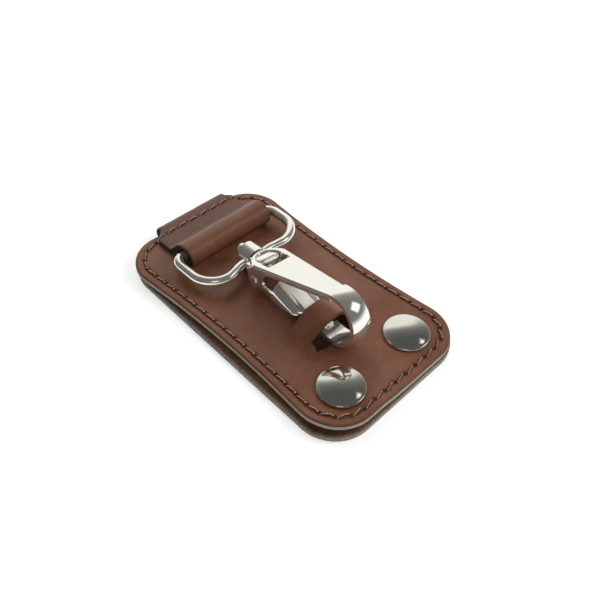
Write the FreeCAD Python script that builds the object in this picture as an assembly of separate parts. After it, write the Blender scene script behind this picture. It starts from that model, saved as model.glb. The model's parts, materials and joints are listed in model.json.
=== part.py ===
"""Belt key clip: a stitched leather panel, a belt flap on press studs and a swivel snap hook.

Millimetres, +Z out of the front of the panel, +Y towards the ring, origin under the middle of the clip.
"""
import math
import os

import FreeCAD
import Part
from FreeCAD import Placement, Rotation, Vector

# Front panel
panel_width = 49.6
panel_length = 84.5
panel_corner = 11.0
panel_waist = 1.5
panel_thick = 1.7

# Keeper: a bridge of the panel's leather between two slots, lifted over the nose of the hook
keeper_half_length = 7.8
keeper_crest_half = 2.3
keeper_rise = 5.5
keeper_thick = 1.5
keeper_width = 8.2
keeper_bight_gap = 1.2
keeper_slot_foot = 1.3
keeper_slot_head = 0.6

# Belt flap, its neck and the ring strap are cut from one piece of leather
flap_thick = 1.5
belt_gap = 0.7
flap_left_margin = 1.2
flap_right_margin = 0.0
flap_foot_margin = 0.4
flap_set_back = 1.0
flap_corner = 11.0
flap_taper = 1.3

# Ring strap: flat under the seam, then a tunnel for the ring bar
strap_width = 29.2
strap_shift = 1.2
strap_clip_left = 3.2
strap_clip_right = 1.7
tunnel_height = 6.8
slope_foot_drop = 7.2
slope_deg = 50.0
slope_foot_radius = 2.8
crest_radius = 4.8
crest_flat = 0.4

# Border seam
seam_inset = 2.5
stitch_pitch = 3.9
stitch_gap = 0.9
thread_radius = 0.34

# Press studs
stud_side_distance = 12.3
stud_foot_distance = 10.65
cap_radius = 6.25
cap_height = 2.3
cap_rim = 0.9
cap_sheet = 0.45
socket_sheet = 0.3
socket_flange_radius = 5.3
socket_barrel_radius = 3.35
socket_cavity_radius = 3.0
socket_top = 0.35
rivet_radius = 1.25
rivet_flare_radius = 1.8
rivet_flare_height = 0.25
stud_flange_radius = 4.8
stud_neck_radius = 1.75
stud_head_radius = 2.05
stud_bore_radius = 1.25
stud_neck_height = 1.1
stud_height = 1.65
stud_roof = 0.25
eyelet_flange_radius = 4.5
eyelet_bore_radius = 0.75
eyelet_reach = 2.6
ring_spring_wire_radius = 0.22
ring_spring_opening_deg = 60.0
seat_clearance = 0.05
stud_clearance = 0.1

# Ring and hook: lie of the clip, with the ring bar as its pivot
clip_shift = 0.23
bar_drop = 15.19
bar_lift = 1.86
clip_yaw_deg = -2.0
clip_pitch_deg = 3.8
ring_roll_deg = -0.8
hook_roll_deg = 3.9

# Swivel eye
ring_half_width = 17.8
ring_length = 13.75
ring_bow = 0.5
ring_bar_corner = 2.8
ring_foot_corner = 7.7
ring_wire_radius = 1.4
boss_radius = 3.55
boss_start = 10.95
boss_end = 15.45

# Swivel post
post_radius = 1.7
post_head_radius = 2.1
post_head_length = 1.5
post_head_gap = 0.2
post_block_half_width = 2.8
post_block_half_height = 1.9
post_block_length = 1.5
running_clearance = 0.05

# Hook body
plate_start = 15.75
plate_start_height = 3.23
plate_slope_deg = 10.43
plate_thick = 1.5
plate_half_width = 5.9
plate_arch_length = 4.9
plate_end_half_width = 3.0
plate_run = 30.6
plate_bevel = 0.45
window_half_width = 3.85
window_rim = 0.95
window_length = 8.1
wall_start = 15.95
wall_thick = 1.2
wall_half_width = 3.0
ear_inner = 4.3
ear_thick = 1.2
ear_round = 1.95
ear_back = 17.35
ear_front = 25.15
curl_centre = 47.25
curl_centre_height = 1.73
curl_inner_radius = 6.3
curl_edge_radius = 7.5
curl_crown_radius = 7.95
curl_half_width = 2.98
curl_start_deg = 14.0
curl_end_deg = 188.0
tip_length = 2.6

# Gate lever, its pin and spring
pin_distance = 20.45
pin_depth = 1.3
pin_radius = 0.9
pin_head_radius = 1.35
pin_head_thick = 0.35
gate_half_width = 4.0
gate_sheet = 0.8
gate_shoulder = 2.0
gate_top = 0.2
gate_slope_deg = 8.95
gate_foot = 4.1
gate_end = 44.75
gate_cheek_end = 37.25
gate_cheek_corner = 1.4
gate_nose_half_width = 2.6
gate_nose_corner = 1.2
gate_web_start = 22.85
gate_lug_radius = 1.7
gate_foot_start = 22.35
gate_slot_start = 23.75
gate_slot_end = 26.75
gate_slot_sill = 0.7
gate_slot_height = 1.9
spring_mean_radius = 1.4
spring_wire_radius = 0.25
spring_pitch = 1.0
spring_turns = 4
spring_leg = 3.6
spring_leg_deg = 6.0

# One overrun serves every cut
overrun = 2.0

# Places that follow from the sizes above
face_z = flap_thick + belt_gap + panel_thick
panel_back_z = flap_thick + belt_gap
fold_radius = (face_z + flap_thick) / 2
panel_x = (flap_left_margin - flap_right_margin) / 2
panel_y = (flap_foot_margin - fold_radius) / 2
panel_top_y = panel_y + panel_length / 2
panel_foot_y = panel_y - panel_length / 2
strap_x = panel_x + strap_shift
neck_left = strap_x - strap_width / 2 + strap_clip_left
neck_right = strap_x + strap_width / 2 - strap_clip_right
strap_turn = math.radians(slope_deg)
slope_bends = slope_foot_radius + crest_radius
slope_run = (tunnel_height - flap_thick - slope_bends * (1 - math.cos(strap_turn))) / math.sin(strap_turn)
crest_drop = slope_foot_drop + slope_bends * math.sin(strap_turn) + slope_run * math.cos(strap_turn)
stud_y = panel_foot_y + stud_foot_distance
bar_x = panel_x + clip_shift
bar_y = panel_top_y - bar_drop
keeper_y = bar_y - curl_centre + keeper_bight_gap
keeper_x = bar_x + (bar_y - keeper_y - keeper_width / 2) * math.sin(math.radians(clip_yaw_deg))
up = Vector(0, 0, 1)


def line(start, end):
    return Part.LineSegment(start, end).toShape()


def arc(start, middle, end):
    return Part.Arc(start, middle, end).toShape()


def prism(edges, travel):
    """Solid made by moving the closed outline along travel."""
    return Part.Face(Part.Wire(edges)).extrude(travel)


def polygon(points):
    """Edges of the closed outline through points."""
    return [line(a, b) for a, b in zip(points, points[1:] + points[:1])]


def lathe(edges):
    """Solid turned about the Z axis from a closed outline in the XZ plane."""
    return Part.Face(Part.Wire(edges)).revolve(Vector(0, 0, 0), up, 360)


def rz(radius, height):
    """A point of an outline that is turned about Z."""
    return Vector(radius, 0, height)


def rounded_outline(width, length, corner, waist, centre, height):
    """Rounded rectangle whose long sides are drawn in by waist and run smoothly into the corners."""
    corner_x = width / 2 - corner
    corner_y = length / 2 - corner
    middle_x = width / 2 - waist
    bow = ((corner - waist) ** 2 + corner_y ** 2 - corner ** 2) / (2 * waist)
    lean = math.asin(corner_y / (bow + corner))

    def at(sign_x, sign_y, x, y):
        return Vector(centre.x + sign_x * x, centre.y + sign_y * y, height)

    def turn(sign_x, sign_y):
        """Corner arc from its long side to its short side."""
        points = []
        for angle in (-lean, (math.pi / 2 - lean) / 2, math.pi / 2):
            x = corner_x + corner * math.cos(angle)
            points.append(at(sign_x, sign_y, x, corner_y + corner * math.sin(angle)))
        return arc(*points)

    side_x = corner_x + corner * math.cos(lean)
    side_y = corner_y - corner * math.sin(lean)
    edges = [turn(sign_x, sign_y) for sign_x in (-1, 1) for sign_y in (-1, 1)]
    for sign in (-1, 1):
        edges.append(line(at(-1, sign, corner_x, length / 2), at(1, sign, corner_x, length / 2)))
        ends = [at(sign, end, side_x, side_y) for end in (-1, 1)]
        edges.append(arc(ends[0], at(sign, 1, middle_x, 0), ends[1]))
    return Part.__sortEdges__(edges)


def tapered_outline(width, length, corner, taper, centre):
    """Rounded shape whose straight long sides draw in by taper from the foot to the head."""
    corner_y = length / 2 - corner
    foot_x = width / 2 - corner
    head_x = foot_x - taper
    lean = math.atan(taper / (2 * corner_y))

    def at(sign, x, y):
        return Vector(centre.x + sign * x, centre.y + y, 0)

    def rim(sign, x, y, angle):
        return at(sign, x + corner * math.cos(angle), y + corner * math.sin(angle))

    edges = [
        line(at(-1, foot_x, -length / 2), at(1, foot_x, -length / 2)),
        line(at(-1, head_x, length / 2), at(1, head_x, length / 2)),
    ]
    for sign in (-1, 1):
        foot_turn = (-math.pi / 2, (lean - math.pi / 2) / 2, lean)
        foot = [rim(sign, foot_x, -corner_y, angle) for angle in foot_turn]
        head_turn = (lean, (lean + math.pi / 2) / 2, math.pi / 2)
        head = [rim(sign, head_x, corner_y, angle) for angle in head_turn]
        edges += [arc(*foot), line(foot[-1], head[0]), arc(*head)]
    return Part.__sortEdges__(edges)


def stud_places():
    """Name and axis of each press stud."""
    half = panel_width / 2 - stud_side_distance
    return [("left", Vector(panel_x - half, stud_y, 0)), ("right", Vector(panel_x + half, stud_y, 0))]


def front_panel():
    centre = Vector(panel_x, panel_y, 0)
    outline = rounded_outline(panel_width, panel_length, panel_corner, panel_waist, centre, panel_back_z)
    panel = prism(outline, up * panel_thick)
    for _, place in stud_places():
        hole = Part.makeCylinder(socket_barrel_radius + seat_clearance, face_z + overrun, place)
        panel = panel.cut(hole)
    slots_start = Vector(keeper_x - keeper_half_length, keeper_y - keeper_slot_foot, panel_back_z)
    slots_width = keeper_slot_foot + keeper_width + keeper_slot_head
    return panel.cut(Part.makeBox(2 * keeper_half_length, slots_width, panel_thick, slots_start))


def hook_keeper():
    """Bridge of leather that the hook is fastened round: level ends, two S-bends and a flat crest."""
    run = keeper_half_length - keeper_crest_half
    radius = (keeper_rise ** 2 + run ** 2) / (4 * keeper_rise)
    turn = 2 * math.atan(keeper_rise / run)
    centre_z = face_z + radius
    crown_z = face_z + keeper_rise - radius

    def hollow_arc(side, size, angle):
        x = keeper_x + side * (keeper_half_length - size * math.sin(angle))
        return Vector(x, keeper_y, centre_z - size * math.cos(angle))

    def crown_arc(side, size, angle):
        x = keeper_x + side * (keeper_crest_half + size * math.sin(angle))
        return Vector(x, keeper_y, crown_z + size * math.cos(angle))

    def bend(side, hollow, crown):
        rise = [hollow_arc(side, hollow, angle) for angle in (0, turn / 2, turn)]
        fall = [crown_arc(side, crown, angle) for angle in (turn, turn / 2, 0)]
        return [arc(*rise), arc(*fall)]

    over = radius
    under = radius - keeper_thick
    outer = radius + keeper_thick
    edges = bend(-1, radius, over) + bend(1, radius, over) + bend(-1, outer, under) + bend(1, outer, under)
    edges.append(line(crown_arc(-1, over, 0), crown_arc(1, over, 0)))
    edges.append(line(crown_arc(-1, under, 0), crown_arc(1, under, 0)))
    for side in (-1, 1):
        edges.append(line(hollow_arc(side, radius, 0), hollow_arc(side, outer, 0)))
    return prism(Part.__sortEdges__(edges), Vector(0, keeper_width, 0))


def back_flap():
    """Flap under the panel, with a short tab that meets the neck."""
    width = panel_width + flap_left_margin + flap_right_margin
    foot_y = panel_foot_y - flap_foot_margin
    head_y = panel_top_y - flap_set_back
    centre = Vector(0, (foot_y + head_y) / 2, 0)
    flap = prism(tapered_outline(width, head_y - foot_y, flap_corner, flap_taper, centre), up * flap_thick)
    tab_start = Vector(neck_left, head_y - flap_set_back, 0)
    tab = Part.makeBox(neck_right - neck_left, 2 * flap_set_back, flap_thick, tab_start)
    flap = flap.fuse(tab).removeSplitter()
    for _, place in stud_places():
        flap = flap.cut(Part.makeCylinder(stud_bore_radius, flap_thick + overrun, place))
        flap = flap.cut(Part.makeCylinder(eyelet_flange_radius + seat_clearance, socket_sheet, place))
        recess = place + up * (flap_thick - socket_sheet)
        recess_radius = stud_flange_radius + seat_clearance
        flap = flap.cut(Part.makeCylinder(recess_radius, socket_sheet + overrun, recess))
    return flap


def flap_neck():
    """Half-round fold of leather over the top edge of the panel, from the strap to the flap."""
    inner = fold_radius - flap_thick

    def at(y, z):
        return Vector(neck_left, panel_top_y + y, fold_radius + z)

    edges = [
        arc(at(0, fold_radius), at(fold_radius, 0), at(0, -fold_radius)),
        line(at(0, -fold_radius), at(0, -inner)),
        arc(at(0, -inner), at(inner, 0), at(0, inner)),
        line(at(0, inner), at(0, fold_radius)),
    ]
    return prism(edges, Vector(neck_right - neck_left, 0, 0))


def ring_strap():
    """Strap sewn flat at the top edge, lifted over the ring bar, rolled round in front and tucked back."""
    roll_radius = tunnel_height / 2
    bore_radius = roll_radius - flap_thick
    half = strap_width / 2
    foot = -slope_foot_drop
    crest = -crest_drop
    roll = crest - crest_flat

    def at(y, z):
        return Vector(strap_x - half, panel_top_y + y, face_z + z)

    def hollow_arc(radius, angle):
        centre_z = flap_thick + slope_foot_radius
        return at(foot - radius * math.sin(angle), centre_z - radius * math.cos(angle))

    def crown_arc(radius, angle):
        centre_z = tunnel_height - crest_radius
        return at(crest + radius * math.sin(angle), centre_z + radius * math.cos(angle))

    outer = [
        line(at(0, 0), at(0, flap_thick)),
        line(at(0, flap_thick), at(foot, flap_thick)),
        arc(*[hollow_arc(slope_foot_radius, angle) for angle in (0, strap_turn / 2, strap_turn)]),
        line(hollow_arc(slope_foot_radius, strap_turn), crown_arc(crest_radius, strap_turn)),
        arc(*[crown_arc(crest_radius, angle) for angle in (strap_turn, strap_turn / 2, 0)]),
        line(at(crest, tunnel_height), at(roll, tunnel_height)),
        arc(at(roll, tunnel_height), at(roll - roll_radius, roll_radius), at(roll, 0)),
        line(at(roll, 0), at(0, 0)),
    ]
    under = crest_radius - flap_thick
    heel_radius = slope_foot_radius + flap_thick
    heel = math.acos(slope_foot_radius / heel_radius)
    ceiling = tunnel_height - flap_thick
    tunnel = [
        arc(at(roll, ceiling), at(roll - bore_radius, roll_radius), at(roll, flap_thick)),
        line(at(roll, flap_thick), hollow_arc(heel_radius, heel)),
        arc(*[hollow_arc(heel_radius, angle) for angle in (heel, (heel + strap_turn) / 2, strap_turn)]),
        line(hollow_arc(heel_radius, strap_turn), crown_arc(under, strap_turn)),
        arc(*[crown_arc(under, angle) for angle in (strap_turn, strap_turn / 2, 0)]),
        line(at(crest, ceiling), at(roll, ceiling)),
    ]
    across = Vector(strap_width, 0, 0)
    strap = prism(outer, across).cut(prism(tunnel, across))
    for side, clip in ((-1, strap_clip_left), (1, strap_clip_right)):
        edge = strap_x + side * half
        clipped = [
            Vector(edge, panel_top_y - clip, face_z),
            Vector(edge, panel_top_y, face_z),
            Vector(edge - side * clip, panel_top_y, face_z),
        ]
        strap = strap.cut(prism(polygon(clipped), up * flap_thick))
    return strap


def border_thread():
    """Stitches of the border seam, lying on the panel and over the strap."""
    width = panel_width - 2 * seam_inset
    length = panel_length - 2 * seam_inset
    centre = Vector(panel_x, panel_y, 0)
    path = Part.Wire(rounded_outline(width, length, panel_corner - seam_inset, panel_waist, centre, face_z))
    count = round(path.Length / stitch_pitch)
    holes = path.discretize(Number=count + 1)
    strap_low_y = panel_top_y - crest_drop
    stitches = []
    for start, end in zip(holes, holes[1:]):
        middle = (start + end) / 2
        reach = strap_width / 2 + stitch_pitch / 2
        over_strap = abs(middle.x - strap_x) < reach and middle.y > strap_low_y
        on_edge = over_strap and abs(middle.x - strap_x) > reach - stitch_pitch
        if on_edge:
            continue
        lift = up * (flap_thick if over_strap else 0)
        along = (end - start).normalize()
        side = along.cross(up) * thread_radius
        foot = start + along * (stitch_gap / 2) + lift
        crown = foot + up * thread_radius
        profile = [arc(foot - side, crown, foot + side), line(foot + side, foot - side)]
        stitches.append(prism(profile, along * ((end - start).Length - stitch_gap)))
    print("stitches", len(stitches))
    return Part.makeCompound(stitches)


def snap_cap():
    """Domed cap, open below, with the rivet that holds the socket."""
    dome_radius = cap_radius - cap_rim / 2
    sag = cap_height - cap_rim
    sphere = (dome_radius ** 2 + sag ** 2) / (2 * sag)
    half_way = dome_radius / 2
    dip = sphere - math.sqrt(sphere ** 2 - half_way ** 2)
    lip = cap_radius - cap_rim
    inner_middle = (lip + rivet_radius) / 2
    inner_dip = sphere - math.sqrt(sphere ** 2 - inner_middle ** 2)
    roof = cap_height - cap_sheet
    flare_z = -socket_top
    edges = [
        arc(rz(0, cap_height), rz(half_way, cap_height - dip), rz(dome_radius, cap_rim)),
        arc(rz(dome_radius, cap_rim), rz(cap_radius, cap_rim / 2), rz(dome_radius, 0)),
        line(rz(dome_radius, 0), rz(lip, 0)),
        line(rz(lip, 0), rz(lip, cap_rim / 2)),
        arc(rz(lip, cap_rim / 2), rz(inner_middle, roof - inner_dip), rz(rivet_radius, roof)),
        line(rz(rivet_radius, roof), rz(rivet_radius, flare_z)),
        line(rz(rivet_radius, flare_z), rz(rivet_flare_radius, flare_z)),
        line(rz(rivet_flare_radius, flare_z), rz(rivet_radius, flare_z - rivet_flare_height)),
        line(rz(rivet_radius, flare_z - rivet_flare_height), rz(0, flare_z - rivet_flare_height)),
        line(rz(0, flare_z - rivet_flare_height), rz(0, cap_height)),
    ]
    return lathe(edges)


def snap_socket():
    """Flanged cup that fills the hole in the panel from behind."""
    mouth = stud_head_radius + stud_clearance
    points = [
        rz(mouth, -socket_sheet),
        rz(socket_flange_radius, -socket_sheet),
        rz(socket_flange_radius, 0),
        rz(socket_barrel_radius, 0),
        rz(socket_barrel_radius, panel_thick),
        rz(rivet_radius + seat_clearance, panel_thick),
        rz(rivet_radius + seat_clearance, panel_thick - socket_top),
        rz(socket_cavity_radius, panel_thick - socket_top),
        rz(socket_cavity_radius, 0),
        rz(mouth, 0),
    ]
    return lathe(polygon(points))


def socket_spring():
    """Split ring of wire that rests on the socket's mouth and grips the neck of the stud."""
    radius = stud_neck_radius + stud_clearance + ring_spring_wire_radius
    half_gap = math.radians(ring_spring_opening_deg / 2)

    def at(angle):
        return Vector(radius * math.cos(angle), radius * math.sin(angle), ring_spring_wire_radius)

    path = Part.Wire([arc(at(half_gap), at(math.pi), at(-half_gap))])
    tangent = Vector(-math.sin(half_gap), math.cos(half_gap), 0)
    section = Part.Wire([Part.makeCircle(ring_spring_wire_radius, at(half_gap), tangent)])
    return path.makePipeShell([section], True, False)


def snap_stud():
    """Hollow stud with its flange let into the flap."""
    edges = polygon([
        rz(stud_bore_radius, -socket_sheet),
        rz(stud_flange_radius, -socket_sheet),
        rz(stud_flange_radius, 0),
        rz(stud_neck_radius, 0),
        rz(stud_neck_radius, stud_neck_height),
    ])[:-1]
    shoulder = rz(stud_neck_radius, stud_neck_height)
    crown = rz(stud_bore_radius, stud_height)
    bulge = rz(stud_head_radius, (stud_neck_height + stud_height) / 2)
    edges.append(arc(shoulder, bulge, crown))
    edges.append(line(crown, rz(0, stud_height)))
    edges.append(line(rz(0, stud_height), rz(0, stud_height - stud_roof)))
    edges.append(line(rz(0, stud_height - stud_roof), rz(stud_bore_radius, stud_height - stud_roof)))
    edges.append(line(rz(stud_bore_radius, stud_height - stud_roof), rz(stud_bore_radius, -socket_sheet)))
    return lathe(edges)


def stud_eyelet():
    """Eyelet through the flap that the stud is closed on, flush with the back."""
    barrel = stud_bore_radius - seat_clearance
    points = [
        rz(eyelet_bore_radius, 0),
        rz(eyelet_flange_radius, 0),
        rz(eyelet_flange_radius, socket_sheet),
        rz(barrel, socket_sheet),
        rz(barrel, eyelet_reach),
        rz(eyelet_bore_radius, eyelet_reach),
    ]
    return lathe(polygon(points))


def clip_placement(roll_deg):
    """Lie of the ring or the hook: its frame starts at the ring bar and -Y runs along the swivel."""
    bar = Vector(bar_x, bar_y, face_z + flap_thick + bar_lift)
    turn = Rotation(up, clip_yaw_deg)
    turn = turn * Rotation(Vector(1, 0, 0), -clip_pitch_deg)
    turn = turn * Rotation(Vector(0, 1, 0), roll_deg)
    return Placement(bar, turn)


def placed(shape, roll_deg):
    shape.Placement = clip_placement(roll_deg)
    return shape


def along_swivel(radius, start, end):
    """Round bar on the swivel axis between two distances from the ring bar."""
    return Part.makeCylinder(radius, end - start, Vector(0, -start, 0), Vector(0, -1, 0))


def swivel_eye():
    """Wire loop with a bored boss for the swivel post."""
    bar_turn = ring_bar_corner * (1 - math.sqrt(0.5))
    foot_turn = ring_foot_corner * (1 - math.sqrt(0.5))
    foot_x = ring_half_width - ring_foot_corner
    end_of_bar = ring_half_width - ring_bar_corner
    end_x = boss_radius - ring_wire_radius / 2
    bow_run = foot_x - end_x
    bow_radius = (bow_run ** 2 + ring_bow ** 2) / (2 * ring_bow)
    bow_middle = bow_radius - math.sqrt(bow_radius ** 2 - (bow_run / 2) ** 2)

    def half(side):
        def at(x, y):
            return Vector(side * x, -y, 0)

        return [
            arc(at(end_x, ring_length + ring_bow), at(end_x + bow_run / 2, ring_length + bow_middle),
                at(foot_x, ring_length)),
            arc(at(foot_x, ring_length), at(ring_half_width - foot_turn, ring_length - foot_turn),
                at(ring_half_width, ring_length - ring_foot_corner)),
            line(at(ring_half_width, ring_length - ring_foot_corner), at(ring_half_width, ring_bar_corner)),
            arc(at(ring_half_width, ring_bar_corner), at(ring_half_width - bar_turn, bar_turn),
                at(end_of_bar, 0)),
        ]

    loop = Part.makeCylinder(ring_wire_radius, 2 * end_of_bar, Vector(-end_of_bar, 0, 0), Vector(1, 0, 0))
    for side in (-1, 1):
        path = Part.Wire(half(side))
        start = path.OrderedVertexes[-1].Point
        section = Part.Wire([Part.makeCircle(ring_wire_radius, start, Vector(1, 0, 0))])
        loop = loop.fuse(path.makePipeShell([section], True, False))
    eye = loop.fuse(along_swivel(boss_radius, boss_start, boss_end)).removeSplitter()
    bore = along_swivel(post_radius + running_clearance, boss_start - overrun, boss_end + overrun)
    return placed(eye.cut(bore), ring_roll_deg)


def swivel_post():
    """Headed post: peened inside the eye, with a flat block inside the hook."""
    head_end = boss_start - post_head_gap
    block_start = wall_start + wall_thick
    post = along_swivel(post_radius, head_end, block_start)
    post = post.fuse(along_swivel(post_head_radius, head_end - post_head_length, head_end))
    corner = Vector(-post_block_half_width, -block_start - post_block_length, -post_block_half_height)
    block = Part.makeBox(2 * post_block_half_width, post_block_length, 2 * post_block_half_height, corner)
    return placed(post.fuse(block).removeSplitter(), hook_roll_deg)


def plate_point(across, distance, depth):
    """Point of the hook's plate: distance runs down its slope, depth under its face."""
    slope = math.radians(plate_slope_deg)
    y = -plate_start - distance * math.cos(slope) - depth * math.sin(slope)
    z = plate_start_height + distance * math.sin(slope) - depth * math.cos(slope)
    return Vector(across, y, z)


def plate_outline(inset, depth):
    """Edges of the plate's outline, drawn in by inset, at a depth under its face."""
    wide = plate_half_width - inset
    narrow = plate_end_half_width - inset
    left = plate_point(-wide, plate_arch_length, depth)
    right = plate_point(wide, plate_arch_length, depth)
    far_right = plate_point(narrow, plate_run, depth)
    far_left = plate_point(-narrow, plate_run, depth)
    apex = plate_point(0, inset, depth)
    return [arc(left, apex, right), line(right, far_right), line(far_right, far_left), line(far_left, left)]


def hook_plate():
    """Tapered face plate with a bevelled edge, an arched end and a window over the swivel."""
    slope = math.radians(plate_slope_deg)
    into = Vector(0, -math.sin(slope), -math.cos(slope))
    brow = Part.Wire(plate_outline(0, plate_bevel))
    face = Part.Wire(plate_outline(plate_bevel, 0))
    plate = Part.Face(brow).extrude(into * (plate_thick - plate_bevel))
    plate = plate.fuse(Part.makeLoft([brow, face], True, True))
    arch = window_rim + window_half_width
    sill = window_rim + window_length
    left = plate_point(-window_half_width, arch, -overrun)
    right = plate_point(window_half_width, arch, -overrun)
    far_right = plate_point(window_half_width, sill, -overrun)
    far_left = plate_point(-window_half_width, sill, -overrun)
    apex = plate_point(0, window_rim, -overrun)
    window = [arc(left, apex, right)] + polygon([right, far_right, far_left, left])[:3]
    return plate.cut(prism(window, into * (plate_thick + 2 * overrun)))


def hook_curl():
    """Curl of the hook: a strip with a rounded back, turned about the middle of the bight."""
    edge_drop = curl_crown_radius - curl_edge_radius

    def at(across, radius):
        return Vector(across, -curl_centre, curl_centre_height + radius)

    section = [
        line(at(-curl_half_width, curl_inner_radius), at(curl_half_width, curl_inner_radius)),
        line(at(curl_half_width, curl_inner_radius), at(curl_half_width, curl_edge_radius)),
        arc(at(curl_half_width, curl_edge_radius), at(0, curl_edge_radius + edge_drop),
            at(-curl_half_width, curl_edge_radius)),
        line(at(-curl_half_width, curl_edge_radius), at(-curl_half_width, curl_inner_radius)),
    ]
    centre = Vector(0, -curl_centre, curl_centre_height)
    across = Vector(1, 0, 0)
    start = Part.Face(Part.Wire(section))
    start.rotate(centre, across, -curl_start_deg)
    curl = start.revolve(centre, across, curl_start_deg + curl_end_deg)
    end = Part.Face(Part.Wire(section))
    end.rotate(centre, across, curl_end_deg)
    way = math.radians(curl_end_deg)
    return curl.fuse(end.extrude(Vector(0, -math.cos(way), -math.sin(way)) * tip_length)).removeSplitter()


def hook_ear(side):
    """Cheek under the plate that carries the gate pin."""
    inner = side * ear_inner
    slope = math.tan(math.radians(plate_slope_deg))
    middle_drop = plate_thick / 2

    def root(distance):
        return Vector(inner, -distance, plate_start_height + (distance - plate_start) * slope - middle_drop)

    pin_z = -pin_depth
    back = Vector(inner, ear_round - pin_distance, pin_z)
    front = Vector(inner, -ear_round - pin_distance, pin_z)
    bottom = Vector(inner, -pin_distance, pin_z - ear_round)
    edges = [
        line(root(ear_back), back),
        arc(back, bottom, front),
        line(front, root(ear_front)),
        line(root(ear_front), root(ear_back)),
    ]
    return prism(edges, Vector(side * ear_thick, 0, 0))


def hook_wall():
    """End wall that the swivel post passes through."""
    top = plate_start_height - plate_thick / 2
    y = -wall_start

    def at(x, z):
        return Vector(x, y, z)

    edges = [
        line(at(-wall_half_width, top), at(wall_half_width, top)),
        line(at(wall_half_width, top), at(wall_half_width, 0)),
        arc(at(wall_half_width, 0), at(0, -wall_half_width), at(-wall_half_width, 0)),
        line(at(-wall_half_width, 0), at(-wall_half_width, top)),
    ]
    return prism(edges, Vector(0, -wall_thick, 0))


def hook_body():
    body = hook_plate().fuse([hook_curl(), hook_ear(-1), hook_ear(1), hook_wall()]).removeSplitter()
    body = body.cut(along_swivel(post_radius, boss_end, wall_start + wall_thick + overrun))
    return placed(body.cut(pin_bar(pin_radius + seat_clearance)), hook_roll_deg)


def pin_bar(radius):
    """Round bar across the ears on the gate's pivot."""
    reach = ear_inner + ear_thick
    return Part.makeCylinder(radius, 2 * reach, Vector(-reach, -pin_distance, -pin_depth), Vector(1, 0, 0))


def gate_pin():
    """Rivet across the ears, headed at both ends."""
    pin = pin_bar(pin_radius)
    reach = ear_inner + ear_thick
    for side in (-1, 1):
        foot = Vector(side * reach, -pin_distance, -pin_depth)
        pin = pin.fuse(Part.makeCylinder(pin_head_radius, pin_head_thick, foot, Vector(side, 0, 0)))
    return placed(pin.removeSplitter(), hook_roll_deg)


def gate_channel(half_width, top, shoulder):
    """Round-shouldered bar that the gate's sheet follows, outside or inside, tipped down to the hook."""
    bend = shoulder * (1 - math.sqrt(0.5))
    foot = -2 * gate_foot
    start = ear_round - pin_distance

    def at(x, z):
        return Vector(x, start, z)

    edges = [
        line(at(-half_width, foot), at(half_width, foot)),
        line(at(shoulder - half_width, top), at(half_width - shoulder, top)),
    ]
    for side in (-1, 1):
        low = at(side * half_width, top - shoulder)
        middle = at(side * (half_width - bend), top - bend)
        edges.append(arc(low, middle, at(side * (half_width - shoulder), top)))
        edges.append(line(at(side * half_width, foot), low))
    bar = prism(Part.__sortEdges__(edges), Vector(0, -gate_end - start - overrun, 0))
    bar.rotate(Vector(0, -gate_web_start, gate_top), Vector(1, 0, 0), gate_slope_deg)
    return bar


def gate_side():
    """Side view of the gate, as a bar right across it: pivot lug, level foot and square end."""
    reach = gate_half_width + overrun
    lug = Vector(-reach, -pin_distance, -pin_depth)
    lug_top = lug + up * gate_lug_radius
    lug_foot = lug - up * gate_lug_radius

    def at(distance, z):
        return Vector(-reach, -distance, z)

    edges = [
        arc(lug_top, lug + Vector(0, gate_lug_radius, 0), lug_foot),
        line(lug_foot, at(gate_foot_start, -gate_foot)),
        line(at(gate_foot_start, -gate_foot), at(gate_end, -gate_foot)),
        line(at(gate_end, -gate_foot), at(gate_end, overrun)),
        line(at(gate_end, overrun), at(gate_web_start, overrun)),
        line(at(gate_web_start, overrun), lug_top),
    ]
    return prism(edges, Vector(2 * reach, 0, 0))


def gate_plan():
    """Plan of the gate: full width at the cheeks, then a narrow nose that closes on the hook's tip."""
    start = pin_distance - gate_lug_radius - overrun
    low = -gate_foot - overrun
    wide = gate_half_width
    nose = gate_nose_half_width
    turn = gate_cheek_corner * (1 - math.sqrt(0.5))
    tip_turn = gate_nose_corner * (1 - math.sqrt(0.5))
    cheek = gate_cheek_end - gate_cheek_corner
    tip = gate_end - gate_nose_corner

    def at(x, distance):
        return Vector(x, -distance, low)

    def half(side):
        return [
            line(at(0, start), at(side * wide, start)),
            line(at(side * wide, start), at(side * wide, cheek)),
            arc(at(side * wide, cheek), at(side * (wide - turn), gate_cheek_end - turn),
                at(side * (wide - gate_cheek_corner), gate_cheek_end)),
            line(at(side * (wide - gate_cheek_corner), gate_cheek_end), at(side * nose, tip)),
            arc(at(side * nose, tip), at(side * (nose - tip_turn), gate_end - tip_turn),
                at(side * (nose - gate_nose_corner), gate_end)),
            line(at(side * (nose - gate_nose_corner), gate_end), at(0, gate_end)),
        ]

    return prism(Part.__sortEdges__(half(-1) + half(1)), up * (gate_foot + 2 * overrun))


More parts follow.
